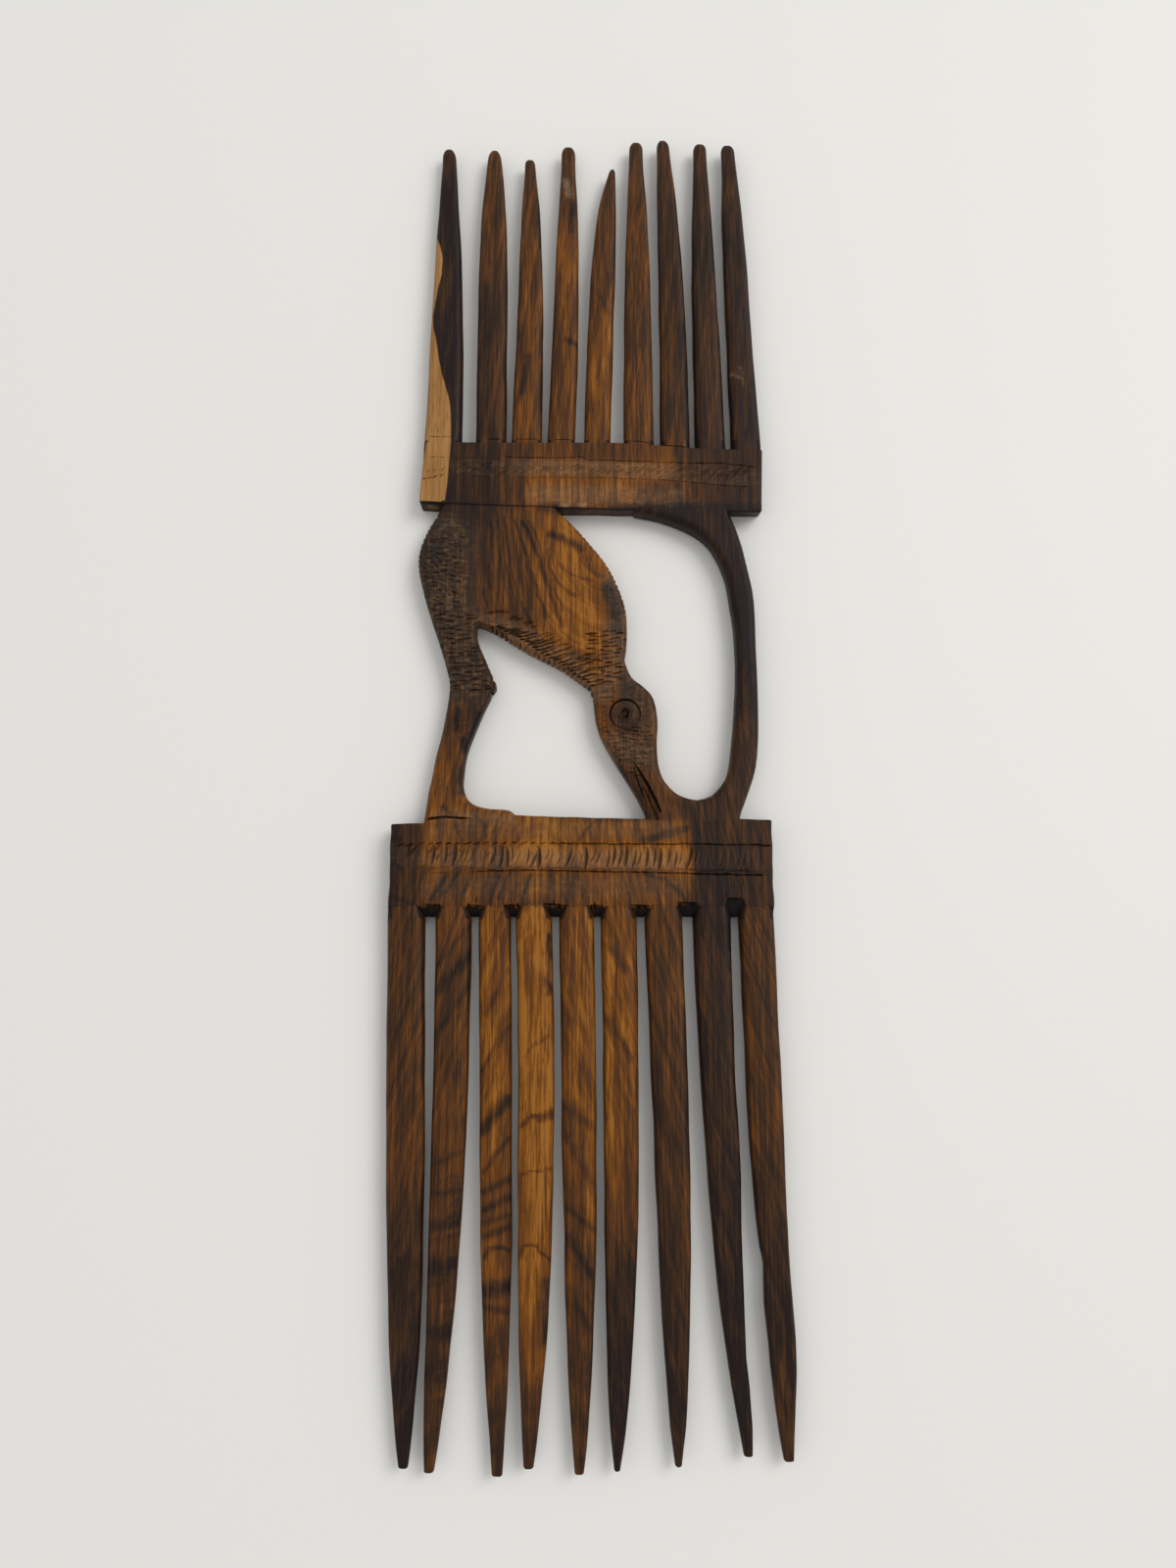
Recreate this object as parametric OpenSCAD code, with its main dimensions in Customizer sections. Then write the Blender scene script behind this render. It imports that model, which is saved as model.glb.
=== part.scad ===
// Double-ended comb carved from one board: short tines above, long tines below,
// and between the two bars a wading bird that bends down to the lower bar.
// The back faces lie on z = 0. The comb's length runs along y, its face looks up.

/* [Length] */
// Reach of the longest upper tine beyond the upper bar
upper_tine_len = 75.9; // [65:0.1:87]
// Height of the upper bar, from the figure to the tine roots
upper_bar_h = 14; // [12:0.1:18]
// Height of the carved figure, from bar to bar
figure_h = 66.5; // [58:0.1:78]
// Height of the lower bar, from the figure to the ends of its slots
lower_bar_h = 18.8; // [16:0.1:22]
// Reach of the longest lower tine beyond the lower bar
lower_tine_len = 99.2; // [84:0.1:114]

/* [Width] */
// Width of the upper bar, along which its tines are spread
upper_bar_w = 71.3; // [67:0.1:80]
// Width of the lower bar, along which its tines are spread
lower_bar_w = 74.8; // [70:0.1:84]
// How much narrower the figure is than the two bars on average
figure_margin = 3.9; // [2:0.1:7]
// How far the upper bar sits to the right of the comb's middle line
upper_bar_shift = 0.9; // [0:0.1:1.2]
// How far the lower bar sits to the left of the comb's middle line
lower_bar_shift = 1; // [0:0.1:1.5]

/* [Tines] */
// Width of a plain upper tine at its root
upper_tine_w = 6.3; // [5.4:0.1:6.7]
// Width of a plain lower tine at its root
lower_tine_w = 7; // [6:0.1:7.4]
// Width of an upper tine's end
upper_end_w = 2.2; // [1.2:0.1:3]
// Width of a lower tine's end
lower_end_w = 1.7; // [1:0.1:2.6]
// Thickness of a tine's blunt end
tine_end_t = 1.8; // [1:0.1:2.8]
// Chamfer along the four edges of a tine
tine_chamfer = 1; // [0.5:0.1:1.4]

/* [Thickness] */
// Thickness of both bars
bar_t = 5; // [4:0.1:7]
// How far the figure and the tine roots lie below each face of the bars
face_step = 0.3; // [0.1:0.1:0.6]
// Chamfer around the carved figure
figure_chamfer = 0.9; // [0.3:0.1:1.4]

/* [Carving] */
// Distance from the figure to the first cut line of the lower bar
lower_band_start = 3.8; // [2:0.1:5]
// Height of the chip-cut band on the lower bar
lower_band_h = 5.5; // [4:0.1:6.5]
// Distance from the figure to the first cut line of the upper bar
upper_band_start = 5.7; // [3:0.1:6]
// Height of the chip-cut band on the upper bar
upper_band_h = 5; // [3.5:0.1:5.5]
// Distance from one chip cut to the next
chip_pitch = 1.65; // [1.2:0.05:2.6]
// Depth of the chip cuts
chip_depth = 0.5; // [0.2:0.05:0.9]
// Width of the cut lines that border the bands
line_w = 0.6; // [0.3:0.05:1]
// Depth of the cut lines that border the bands
line_depth = 0.5; // [0.2:0.05:0.8]
// Reach of the sloped notch at the end of each lower slot
slot_notch_reach = 1.7; // [1:0.1:3]
// How much wider the notch starts than its slot, on each side
slot_notch_flare = 0.9; // [0:0.05:1.2]
// Radius of the ring cut around the bird's eye
eye_ring_r = 2.7; // [2:0.1:3.2]
// Radius of the drilled pupil
pupil_r = 0.8; // [0.4:0.05:1.2]
// Depth of the drilled pupil
pupil_depth = 1.2; // [0.6:0.1:1.8]
// Width of the mouth cut where it reaches the lower bar
mouth_w = 1.5; // [0.8:0.1:2]
// Depth of the mouth cut
mouth_depth = 0.9; // [0.4:0.1:1.4]

/* [Hidden] */
total_len = upper_tine_len + upper_bar_h + figure_h + lower_bar_h + lower_tine_len;
lower_root_y = lower_tine_len - total_len/2;
figure_low_y = lower_root_y + lower_bar_h;
figure_high_y = figure_low_y + figure_h;
upper_root_y = figure_high_y + upper_bar_h;
figure_w = (upper_bar_w + lower_bar_w)/2 - figure_margin;
middle_z = bar_t/2;
// Thickness of the figure and of the tine roots
carved_t = bar_t - 2*face_step;
// How far a cut reaches out of the wood it cuts
overrun = bar_t/60;

// Each row is one tine, from left to right, as shares of the bar's width, the tine
// width and the tine length: [middle at root, halfway and tip; width at root and
// halfway; reach]
upper_tine_shares = [
    [-0.440, -0.438, -0.447, 1.29, 1.05, 0.969],
    [-0.297, -0.300, -0.303, 1.00, 1.06, 0.965],
    [-0.192, -0.185, -0.189, 1.03, 0.90, 0.932],
    [-0.089, -0.074, -0.070, 0.94, 0.88, 0.976],
    [ 0.019,  0.034,  0.060, 0.90, 0.91, 0.901],
    [ 0.142,  0.144,  0.144, 1.03, 0.92, 0.993],
    [ 0.251,  0.247,  0.228, 1.00, 0.91, 1.000],
    [ 0.357,  0.349,  0.345, 1.03, 0.88, 0.987],
    [ 0.459,  0.448,  0.432, 0.92, 0.88, 0.983]];
lower_tine_shares = [
    [-0.456, -0.438, -0.422, 1.04, 1.05, 0.987],
    [-0.333, -0.334, -0.361, 1.00, 0.92, 0.994],
    [-0.225, -0.212, -0.199, 0.88, 0.88, 1.000],
    [-0.123, -0.113, -0.124, 1.00, 0.98, 0.987],
    [-0.013, -0.003, -0.003, 0.96, 0.93, 0.997],
    [ 0.097,  0.101,  0.087, 1.00, 0.95, 0.991],
    [ 0.213,  0.229,  0.233, 1.05, 0.96, 0.984],
    [ 0.339,  0.356,  0.396, 1.06, 0.90, 0.968],
    [ 0.455,  0.471,  0.496, 0.97, 0.98, 0.976]];
tine_ring_shares = [0, 0.12, 0.26, 0.4, 0.54, 0.66, 0.76, 0.85, 0.92, 0.97, 1];
upper_taper_power = 4.2;
lower_taper_power = 4.5;
thickness_taper_power = 2;

upper_tine_colors = ["#2b1c14", "#3a241a", "#55331c", "#5a3820", "#6b4022",
                     "#56341f", "#3c261b", "#2c1e18", "#2a1d17"];
lower_tine_colors = ["#33231a", "#5d3c22", "#7a4a22", "#a2662c", "#6e4423",
                     "#553522", "#462c1f", "#1f1613", "#38261d"];

// The figure's outlines are walked edge by edge. A point is [x, y], where x is a
// share of half the figure's width and y a share of its height above the lower bar.
joint_x_share = -0.652;
thigh_back_shares = [
    [-0.8, 0.422], [-0.812, 0.452], [-0.832, 0.491], [-0.878, 0.566], [-0.928, 0.642],
    [-0.985, 0.745], [-1.009, 0.829], [-0.965, 0.915], [-0.868, 1]];
joint_y_shares = [1, 0.905, 0.81, 0.715, 0.62];
joint_down_shares = [for (y_share = joint_y_shares) [joint_x_share, y_share]];
joint_up_shares = [for (i = [len(joint_y_shares) - 1:-1:0]) joint_down_shares[i]];
thigh_front_shares = [
    [-0.522, 0.416], [-0.554, 0.454], [-0.6, 0.509], [-0.643, 0.566], [joint_x_share, 0.62]];
belly_shares = [
    [joint_x_share, 0.62], [-0.522, 0.585], [-0.351, 0.528], [-0.148, 0.472], [0.02, 0.407]];
breast_shares = [
    [-0.2, 1], [-0.067, 0.934], [0.026, 0.876], [0.1, 0.826], [0.162, 0.771],
    [0.214, 0.701], [0.238, 0.642], [0.238, 0.548], [0.223, 0.5]];
shank_back_shares = [
    [-0.8, 0.422], [-0.809, 0.361], [-0.838, 0.268], [-0.87, 0.195], [-0.893, 0.123],
    [-0.905, 0.095]];
shank_front_shares = [
    [-0.522, 0.416], [-0.58, 0.361], [-0.64, 0.285], [-0.69, 0.21], [-0.707, 0.147],
    [-0.71, 0.105]];
heel_shares = [[-0.905, 0.095], [-0.916, 0.048], [-0.928, 0]];
sole_shares = [[-0.928, 0], [-0.8, 0], [-0.66, 0], [-0.52, 0], [-0.41, 0]];
instep_shares = [
    [-0.71, 0.105], [-0.698, 0.083], [-0.675, 0.062], [-0.635, 0.047], [-0.557, 0.037],
    [-0.449, 0.033], [-0.403, 0.018]];
throat_shares = [
    [0.02, 0.407], [0.04, 0.37], [0.048, 0.33], [0.058, 0.3], [0.085, 0.255],
    [0.125, 0.215], [0.168, 0.177]];
crown_shares = [
    [0.223, 0.5], [0.262, 0.447], [0.333, 0.416], [0.391, 0.379], [0.415, 0.31],
    [0.409, 0.238], [0.414, 0.177]];
beak_joint_x_share = 0.446;
beak_under_shares = [[0.168, 0.177], [0.21, 0.141], [0.252, 0.105], [0.303, 0.058], [0.354, 0]];
beak_over_shares = [[0.414, 0.177], [0.427, 0.148], [beak_joint_x_share, 0.123]];
beak_joint_shares = [for (y_share = [0.123, 0.06, 0]) [beak_joint_x_share, y_share]];
loop_bottom_shares = [
    [beak_joint_x_share, 0.123], [0.507, 0.087], [0.577, 0.069], [0.638, 0.063]];
loop_foot_shares = [for (x_share = [beak_joint_x_share, 0.51, 0.575, 0.638]) [x_share, 0]];
strut_inner_shares = [
    [0.638, 0.063], [0.713, 0.075], [0.771, 0.105], [0.812, 0.141], [0.832, 0.189],
    [0.852, 0.274], [0.867, 0.361], [0.878, 0.454], [0.878, 0.548], [0.87, 0.623],
    [0.855, 0.681], [0.835, 0.757], [0.797, 0.818]];
strut_foot_shares = [[0.638, 0], [0.76, 0], [0.867, 0]];
strut_outer_shares = [
    [0.867, 0], [0.92, 0.07], [0.977, 0.159], [0.998, 0.26], [1.003, 0.361],
    [1.003, 0.454], [1.0, 0.548], [1.0, 0.64], [0.991, 0.72], [0.966, 0.79],
    [0.935, 0.87]];
shoulder_inner_shares = [
    [0.797, 0.818], [0.75, 0.866], [0.69, 0.902], [0.59, 0.935], [0.43, 0.968],
    [0.28, 0.984]];
shoulder_outer_shares = [[0.935, 0.87], [0.897, 0.935], [0.846, 1]];
shoulder_top_shares = [for (x_share = [0.846, 0.7, 0.48, 0.31]) [x_share, 1]];
eye_share = [0.226, 0.33];
mouth_corner_share = [0.257, 0.186];
mouth_end_share = [0.42, -0.01];
toe_crease_shares = [[-0.883, 0.018], [-0.79, 0.026], [-0.69, 0.009]];
// Pieces of a smooth edge between one of its points and the next
steps = 3;
chip_width_share = 0.7;
chamfer_limit_share = 0.3;
ring_sides = 48;
pupil_sides = 32;
// Free ranges of an edge that is chamfered from end to end, or nowhere
all_free = [-1, 99];
none_free = [99, 99];

function figure_point(share) =
    [share.x*figure_w/2, figure_low_y + share.y*figure_h];

// A smooth curve through every point of a list, with its two ends left free
function before(points, i) = i > 0 ? points[i - 1] : 2*points[0] - points[1];
function after(points, i) = let (last = len(points) - 1)
    i + 2 <= last ? points[i + 2] : 2*points[last] - points[last - 1];
function curve_point(a, b, c, d, t) =
    b + (c - a)*t/2 + (2*a - 5*b + 4*c - d)*t*t/2 + (3*b - a - 3*c + d)*t*t*t/2;
function smooth(points) = [
    for (i = [0:len(points) - 2], k = [0:steps - 1])
        curve_point(before(points, i), points[i], points[i + 1], after(points, i), k/steps),
    points[len(points) - 1]];

// Two edges that meet in a corner, as one list
function join(first, second) = concat(first, [for (i = [1:len(second) - 1]) second[i]]);

// An eight-sided section between the two edges of a strip, chamfered by left_cut and
// right_cut across it and by cut through its thickness
function section(left, right, low, high, cut, left_cut, right_cut) =
    let (across = (right - left)/norm(right - left),
         left_in = left + across*left_cut,
         right_in = right - across*right_cut)
    [[left_in.x, left_in.y, high], [right_in.x, right_in.y, high],
     [right.x, right.y, high - cut], [right.x, right.y, low + cut],
     [right_in.x, right_in.y, low], [left_in.x, left_in.y, low],
     [left.x, left.y, low + cut], [left.x, left.y, high - cut]];

// The triangles that close one end of a skin, laid in a zigzag from edge to edge
function cap(sides, first) = [
    for (k = [0:sides/2 - 2])
        let (left = first + (sides - k)%sides, next_left = first + sides - k - 1,
             right = first + k + 1)
        each [[left, right, next_left], [next_left, right, right + 1]]];

// A closed skin over a row of sections
module loft(sections) {
    sides = len(sections[0]);
    last = len(sections) - 1;
    polyhedron(
        points = [for (one = sections) each one],
        faces = concat(
            cap(sides, 0),
            [for (face = cap(sides, last*sides)) [face[2], face[1], face[0]]],
            [for (k = [0:last - 1], i = [0:sides - 1])
                let (a = k*sides + i, b = k*sides + (i + 1)%sides)
                each [[a, a + sides, b], [b, a + sides, b + sides]]]));
}

// A strip of the figure, walked with its left edge on the left hand. An edge is
// chamfered between the two point numbers in its free range and plain elsewhere.
module strip(left_edge, right_edge, left_free, right_free) {
    loft([for (i = [0:len(left_edge) - 1])
        let (left = figure_point(left_edge[i]),
             right = figure_point(right_edge[i]),
             width = norm(right - left),
             across_cut = min(figure_chamfer, chamfer_limit_share*width),
             is_left = i/steps > left_free[0] && i/steps < left_free[1],
             is_right = i/steps > right_free[0] && i/steps < right_free[1])
        section(left, right, face_step, bar_t - face_step,
                min(figure_chamfer, chamfer_limit_share*carved_t),
                is_left ? across_cut : 0, is_right ? across_cut : 0)]);
}

// A value that bends through its root, halfway and tip values
function bend(root, halfway, tip, s) =
    root*(1 - s)*(1 - 2*s) + halfway*4*s*(1 - s) + tip*s*(2*s - 1);

// A tine on the middle line, from y = 0 towards +y
module tine(row, bar_w, tine_w, end_w, tine_len, taper_power) {
    loft([for (s = tine_ring_shares)
        let (middle = bend(row[0], row[1], row[2], s)*bar_w,
             full_w = tine_w*(row[3] + (row[4] - row[3])*2*s),
             w = end_w + (full_w - end_w)*(1 - pow(s, taper_power)),
             t = carved_t + (tine_end_t - carved_t)*pow(s, thickness_taper_power),
             y = s*tine_len*row[5],
             cut = min(tine_chamfer, chamfer_limit_share*w, chamfer_limit_share*t))
        section([middle - w/2, y], [middle + w/2, y],
                middle_z - t/2, middle_z + t/2, cut, cut, cut)]);
}

module upper_tine(i) {
    color(upper_tine_colors[i - 1])
    translate([upper_bar_shift, upper_root_y, 0])
    tine(upper_tine_shares[i - 1], upper_bar_w, upper_tine_w, upper_end_w,
         upper_tine_len, upper_taper_power);
}

module lower_tine(i) {
    color(lower_tine_colors[i - 1])
    translate([-lower_bar_shift, lower_root_y, 0])
    mirror([0, 1, 0])
    tine(lower_tine_shares[i - 1], lower_bar_w, lower_tine_w, lower_end_w,
         lower_tine_len, lower_taper_power);
}

// A bar from y = 0 to y = h, chamfered all round, with a cut line at each place in
// lines on both faces
module bar_blank(w, h, lines) {
    front = [for (y = lines) each
        [[y - line_w/2, bar_t], [y, bar_t - line_depth], [y + line_w/2, bar_t]]];
    back = [for (i = [len(lines) - 1:-1:0]) each
        [[lines[i] + line_w/2, 0], [lines[i], line_depth], [lines[i] - line_w/2, 0]]];
    along = concat([[0, face_step], [0, bar_t - face_step], [face_step, bar_t]], front,
        [[h - face_step, bar_t], [h, bar_t - face_step], [h, face_step],
         [h - face_step, 0]], back, [[face_step, 0]]);
    across = [[-w/2, face_step], [-w/2, bar_t - face_step], [face_step - w/2, bar_t],
        [w/2 - face_step, bar_t], [w/2, bar_t - face_step], [w/2, face_step],
        [w/2 - face_step, 0], [face_step - w/2, 0]];
    intersection() {
        rotate([90, 0, 90]) linear_extrude(w, center = true) polygon(along);
        rotate([90, 0, 0]) linear_extrude(2*h, center = true) polygon(across);
    }
}

// The row of chip cuts between two cut lines, on both faces
module chip_cuts(w, low_y, high_y) {
    reach = w - 2*chip_pitch;
    count = floor(reach/chip_pitch);
    half_cut = chip_pitch*chip_width_share/2;
    half_mouth = half_cut*(1 + overrun/chip_depth);
    starts = [for (i = [0:count - 1]) (i - (count - 1)/2)*chip_pitch];
    comb = concat([[-w/2, 2*overrun], [-w/2, overrun]],
        [for (x = starts) each
            [[x - half_mouth, overrun], [x, -chip_depth], [x + half_mouth, overrun]]],
        [[w/2, overrun], [w/2, 2*overrun]]);
    for (face = [0, 1])
        translate([0, 0, face*bar_t]) mirror([0, 0, 1 - face])
        translate([0, high_y, 0]) rotate([90, 0, 0])
        linear_extrude(high_y - low_y) polygon(comb);
}

module upper_bar() {
    low_line = upper_band_start;
    high_line = upper_band_start + upper_band_h;
    color("#4a3020")
    translate([upper_bar_shift, figure_high_y, 0])
    difference() {
        bar_blank(upper_bar_w, upper_bar_h, [low_line, high_line]);
        chip_cuts(upper_bar_w, low_line + line_w, high_line - line_w);
    }
}

// The sloped notches where the slots between the lower tines end: each runs down from
// both faces to a ridge on the middle of the board
module slot_notches() {
    for (i = [0:len(lower_tine_shares) - 2]) {
        left = lower_tine_shares[i];
        right = lower_tine_shares[i + 1];
        low_x = left[0]*lower_bar_w + left[3]*lower_tine_w/2;
        high_x = right[0]*lower_bar_w - right[3]*lower_tine_w/2;
        slope = slot_notch_reach/(middle_z + overrun);
        intersection() {
            linear_extrude(2*bar_t, center = true)
            polygon([[low_x, -overrun], [low_x, 0],
                [low_x - slot_notch_flare, slot_notch_reach + overrun],
                [high_x + slot_notch_flare, slot_notch_reach + overrun],
                [high_x, 0], [high_x, -overrun]]);
            union() for (face = [0, 1])
                translate([0, 0, middle_z]) mirror([0, 0, face])
                rotate([90, 0, 90]) linear_extrude(2*lower_bar_w, center = true)
                polygon([[-overrun, overrun], [0, overrun],
                    [slot_notch_reach, middle_z + overrun],
                    [slot_notch_reach, bar_t], [-overrun, bar_t]]);
        }
    }
}

module lower_bar() {
    high_line = lower_bar_h - lower_band_start;
    low_line = high_line - lower_band_h;
    color("#6b4526")
    translate([-lower_bar_shift, lower_root_y, 0])
    difference() {
        bar_blank(lower_bar_w, lower_bar_h, [low_line, high_line]);
        chip_cuts(lower_bar_w, low_line + line_w, high_line - line_w);
        slot_notches();
    }
}

module body() {
    color("#7b4d27")
    strip(smooth(breast_shares), join(smooth(joint_down_shares), smooth(belly_shares)),
          all_free, [4, 99]);
}

module thigh() {
    color("#33261e")
    strip(smooth(thigh_back_shares), join(smooth(thigh_front_shares), smooth(joint_up_shares)),
          all_free, [-1, 4]);
}

module shank() {
    color("#5f3c22")
    strip(smooth(shank_front_shares), smooth(shank_back_shares), all_free, all_free);
}

// A cut of the given depth into both faces of the figure, from a flat outline
module on_both_faces(depth) {
    for (z = [-overrun, bar_t - face_step - depth])
        translate([0, 0, z]) linear_extrude(face_step + depth + overrun) children();
}

module foot() {
    color("#6e4524")
    difference() {
        strip(smooth(instep_shares), join(smooth(heel_shares), smooth(sole_shares)),
              all_free, [-1, 2]);
        on_both_faces(line_depth) polygon([for (share = toe_crease_shares) figure_point(share)]);
    }
}

// The mouth cut widens from its corner to the lower bar
module mouth_cut() {
    corner = figure_point(mouth_corner_share);
    end = figure_point(mouth_end_share);
    along = (end - corner)/norm(end - corner);
    side = [-along.y, along.x]*mouth_w/2;
    on_both_faces(mouth_depth) polygon([corner, end + side, end - side]);
}

module eye_cut() {
    eye = figure_point(eye_share);
    translate([eye.x, eye.y, middle_z])
    for (face = [0, 1]) mirror([0, 0, face]) translate([0, 0, carved_t/2]) {
        rotate_extrude($fn = ring_sides)
            polygon([[eye_ring_r - line_w, overrun], [eye_ring_r - line_w/2, -line_depth],
                [eye_ring_r, overrun]]);
        translate([0, 0, -pupil_depth])
            cylinder(r = pupil_r, h = pupil_depth + overrun, $fn = pupil_sides);
    }
}

module head() {
    color("#4d3623")
    difference() {
        strip(smooth(crown_shares), smooth(throat_shares), all_free, all_free);
        eye_cut();
        mouth_cut();
    }
}

module beak() {
    color("#54351f")
    difference() {
        strip(join(smooth(beak_over_shares), smooth(beak_joint_shares)),
              smooth(beak_under_shares), [-1, 2], all_free);
        mouth_cut();
    }
}

module loop_foot() {
    color("#4f3220")
    strip(smooth(loop_bottom_shares), smooth(loop_foot_shares), all_free, none_free);
}

module side_strut() {
    color("#3c281d")
    strip(smooth(strut_inner_shares),
          join(smooth(strut_foot_shares), smooth(strut_outer_shares)), all_free, [2, 99]);
}

module strut_shoulder() {
    color("#33241c")
    strip(smooth(shoulder_inner_shares),
          join(smooth(shoulder_outer_shares), smooth(shoulder_top_shares)),
          all_free, [-1, 2]);
}

upper_bar();
lower_bar();
body();
thigh();
shank();
foot();
head();
beak();
loop_foot();
side_strut();
strut_shoulder();
for (i = [1:len(upper_tine_shares)])
    upper_tine(i);
for (i = [1:len(lower_tine_shares)])
    lower_tine(i);
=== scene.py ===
# %% [markdown]
# # A double-ended comb, carved from one board
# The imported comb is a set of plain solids: two bars, eighteen tines and a wading bird cut
# out between them. This lesson gives them what the knife and the years gave the real one:
# rounded edges, chip cuts, feather strokes and dark figured wood. Every length is written
# in millimetres and turned into metres at the end, because that is how a carver measures.

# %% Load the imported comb
import math
import bmesh
import bpy
import numpy as np
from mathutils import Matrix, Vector
from mathutils.bvhtree import BVHTree


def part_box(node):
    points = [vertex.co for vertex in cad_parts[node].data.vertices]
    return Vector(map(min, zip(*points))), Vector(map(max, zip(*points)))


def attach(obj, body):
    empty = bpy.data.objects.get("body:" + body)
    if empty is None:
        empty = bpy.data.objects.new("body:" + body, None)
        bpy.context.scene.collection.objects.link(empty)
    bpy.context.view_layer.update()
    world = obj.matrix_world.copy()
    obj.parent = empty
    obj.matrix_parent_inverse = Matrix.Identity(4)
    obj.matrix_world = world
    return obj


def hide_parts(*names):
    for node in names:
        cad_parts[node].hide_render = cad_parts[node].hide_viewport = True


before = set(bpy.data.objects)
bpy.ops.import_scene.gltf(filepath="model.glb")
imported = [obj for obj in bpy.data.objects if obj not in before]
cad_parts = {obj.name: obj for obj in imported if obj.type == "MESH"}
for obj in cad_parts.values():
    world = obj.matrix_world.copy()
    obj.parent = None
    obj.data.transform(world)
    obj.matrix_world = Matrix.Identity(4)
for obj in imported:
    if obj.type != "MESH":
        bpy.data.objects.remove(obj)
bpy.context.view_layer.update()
MM = 0.001


# %% [markdown]
# ## The camera
# The comb was photographed from above, from a little below its middle. A lens is a
# pinhole, so a few lines of trigonometry turn a pixel of the picture into a point on the
# comb's face. The colour zones of the wood are placed with them later.

# %% The camera and its pixels
scene = bpy.context.scene
scene.view_settings.view_transform = "Standard"
picture_w, picture_h = 1200, 1600
lens_mm, sensor_mm = 27, 36
camera_x, camera_y, camera_z = 0.32, -60.38, 232.5
camera_tilt = math.radians(12)
face_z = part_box("lower_bar")[1].z / MM
middle_z = face_z / 2
camera = bpy.data.objects.new("camera", bpy.data.cameras.new("camera"))
camera.data.lens = lens_mm
camera.data.sensor_width = sensor_mm
camera.location = Vector((camera_x, camera_y, camera_z)) * MM
camera.rotation_euler = (camera_tilt, 0, 0)
scene.collection.objects.link(camera)
scene.camera = camera


def on_face(pixels):
    """Points given in pixels of the picture, as rows of x and y on the comb's face."""
    u, v = np.array(pixels, float).T
    focal = lens_mm / sensor_mm * picture_h
    across, up = (u - picture_w / 2) / focal, (picture_h / 2 - v) / focal
    sine, cosine = math.sin(camera_tilt), math.cos(camera_tilt)
    reach = (camera_z - face_z) / (cosine - up * sine)
    return np.stack([camera_x + reach * across, camera_y + reach * (sine + up * cosine)], 1)


print("The picture's middle lies on", on_face([(600, 800)]).round(1))


# %% [markdown]
# ## The table and the light
# A pale table and a broad, soft sky are enough. One large lamp to the right gives the cuts
# a lit side and a shaded side, and throws the soft shadow to the left. The table and the
# sky stay plain, because they aren't part of the comb.

# %% A table
table_size = 4000
table_drop = 0.02
half = table_size / 2 * MM
floor_mesh = bpy.data.meshes.new("table")
floor_mesh.from_pydata(
    [(x, y, -table_drop * MM) for x, y in [(-half, -half), (half, -half), (half, half), (-half, half)]],
    [], [(0, 1, 2, 3)])
floor = bpy.data.objects.new("table", floor_mesh)
scene.collection.objects.link(floor)
print("Table:", table_size, "mm wide,", table_drop, "mm below the comb")


# %% Light
window_place = (1.2, 0.72, 1.55)
window_light = bpy.data.lights.new("window", "AREA")
window_light.size = 1.15
window_light.energy = 17.5
window_light.color = (1.0, 0.99, 0.97)
window = bpy.data.objects.new("window", window_light)
window.location = window_place
window.rotation_euler = Vector(window_place).to_track_quat("Z", "Y").to_euler()
scene.collection.objects.link(window)


# %% [markdown]
# ## Writing node trees as sums
# Node trees are easier to read as arithmetic than as a web of lines. `Wire` stands for one
# socket, and + - * on wires add Math nodes, also when the number comes first. Every other
# node comes from one method, `Tree.node`.

# %% Wires
class Wire:
    """One output socket of a node tree."""

    def __init__(self, tree, socket):
        self.tree = tree
        self.socket = socket

    def __add__(self, other):
        return self.tree.sum("ADD", self, other)

    def __radd__(self, other):
        return self.tree.sum("ADD", other, self)

    def __sub__(self, other):
        return self.tree.sum("SUBTRACT", self, other)

    def __rsub__(self, other):
        return self.tree.sum("SUBTRACT", other, self)

    def __mul__(self, other):
        return self.tree.sum("MULTIPLY", self, other)

    def __rmul__(self, other):
        return self.tree.sum("MULTIPLY", other, self)


# %% Trees
class Tree:
    """A node tree that is written as Python."""

    def __init__(self, tree):
        self.tree = tree

    def node(self, kind, settings=None, values=None, out=0):
        """Adds a node, sets its settings, fills its sockets and returns one output."""
        node = self.tree.nodes.new(kind)
        for name, value in (settings or {}).items():
            if name == "stops":
                set_stops(node.color_ramp, value)
            else:
                setattr(node, name, value)
        pairs = values.items() if isinstance(values, dict) else enumerate(values or [])
        for key, value in pairs:
            for one in value if isinstance(value, list) else [value]:
                if isinstance(one, Wire):
                    self.tree.links.new(one.socket, node.inputs[key])
                else:
                    node.inputs[key].default_value = one
        return None if out is None else Wire(self, node.outputs[out])

    def sum(self, operation, first, second):
        """One Math node."""
        return self.node("ShaderNodeMath", {"operation": operation}, [first, second])

    def step(self, value, start, end):
        """0 at start, 1 at end and a soft step between."""
        return self.node("ShaderNodeMapRange", {"interpolation_type": "SMOOTHSTEP"},
                         {"Value": value, "From Min": start, "From Max": end})

    def scaled(self, vector, factors):
        """A vector stretched by three factors."""
        return self.node("ShaderNodeVectorMath", {"operation": "MULTIPLY"}, [vector, factors])

    def noise(self, vector, detail, roughness=0.5):
        """Noise around zero."""
        return self.node("ShaderNodeTexNoise", {},
                         {"Vector": vector, "Scale": 1, "Detail": detail,
                          "Roughness": roughness}) - 0.5

    def mix(self, factor, first, second):
        """A colour between two colours."""
        return self.node("ShaderNodeMix", {"data_type": "RGBA"},
                         {0: factor, 6: first, 7: second}, out=2)

    def attribute(self, name):
        """A number that each vertex carries."""
        return self.node("ShaderNodeAttribute", {"attribute_name": name}, out="Fac")


def set_stops(ramp, stops):
    """Gives a colour ramp its stops, each a place and a colour."""
    while len(ramp.elements) < len(stops):
        ramp.elements.new(0.5)
    for element, (place, colour) in zip(ramp.elements, stops):
        element.position = place
        element.color = colour


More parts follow.
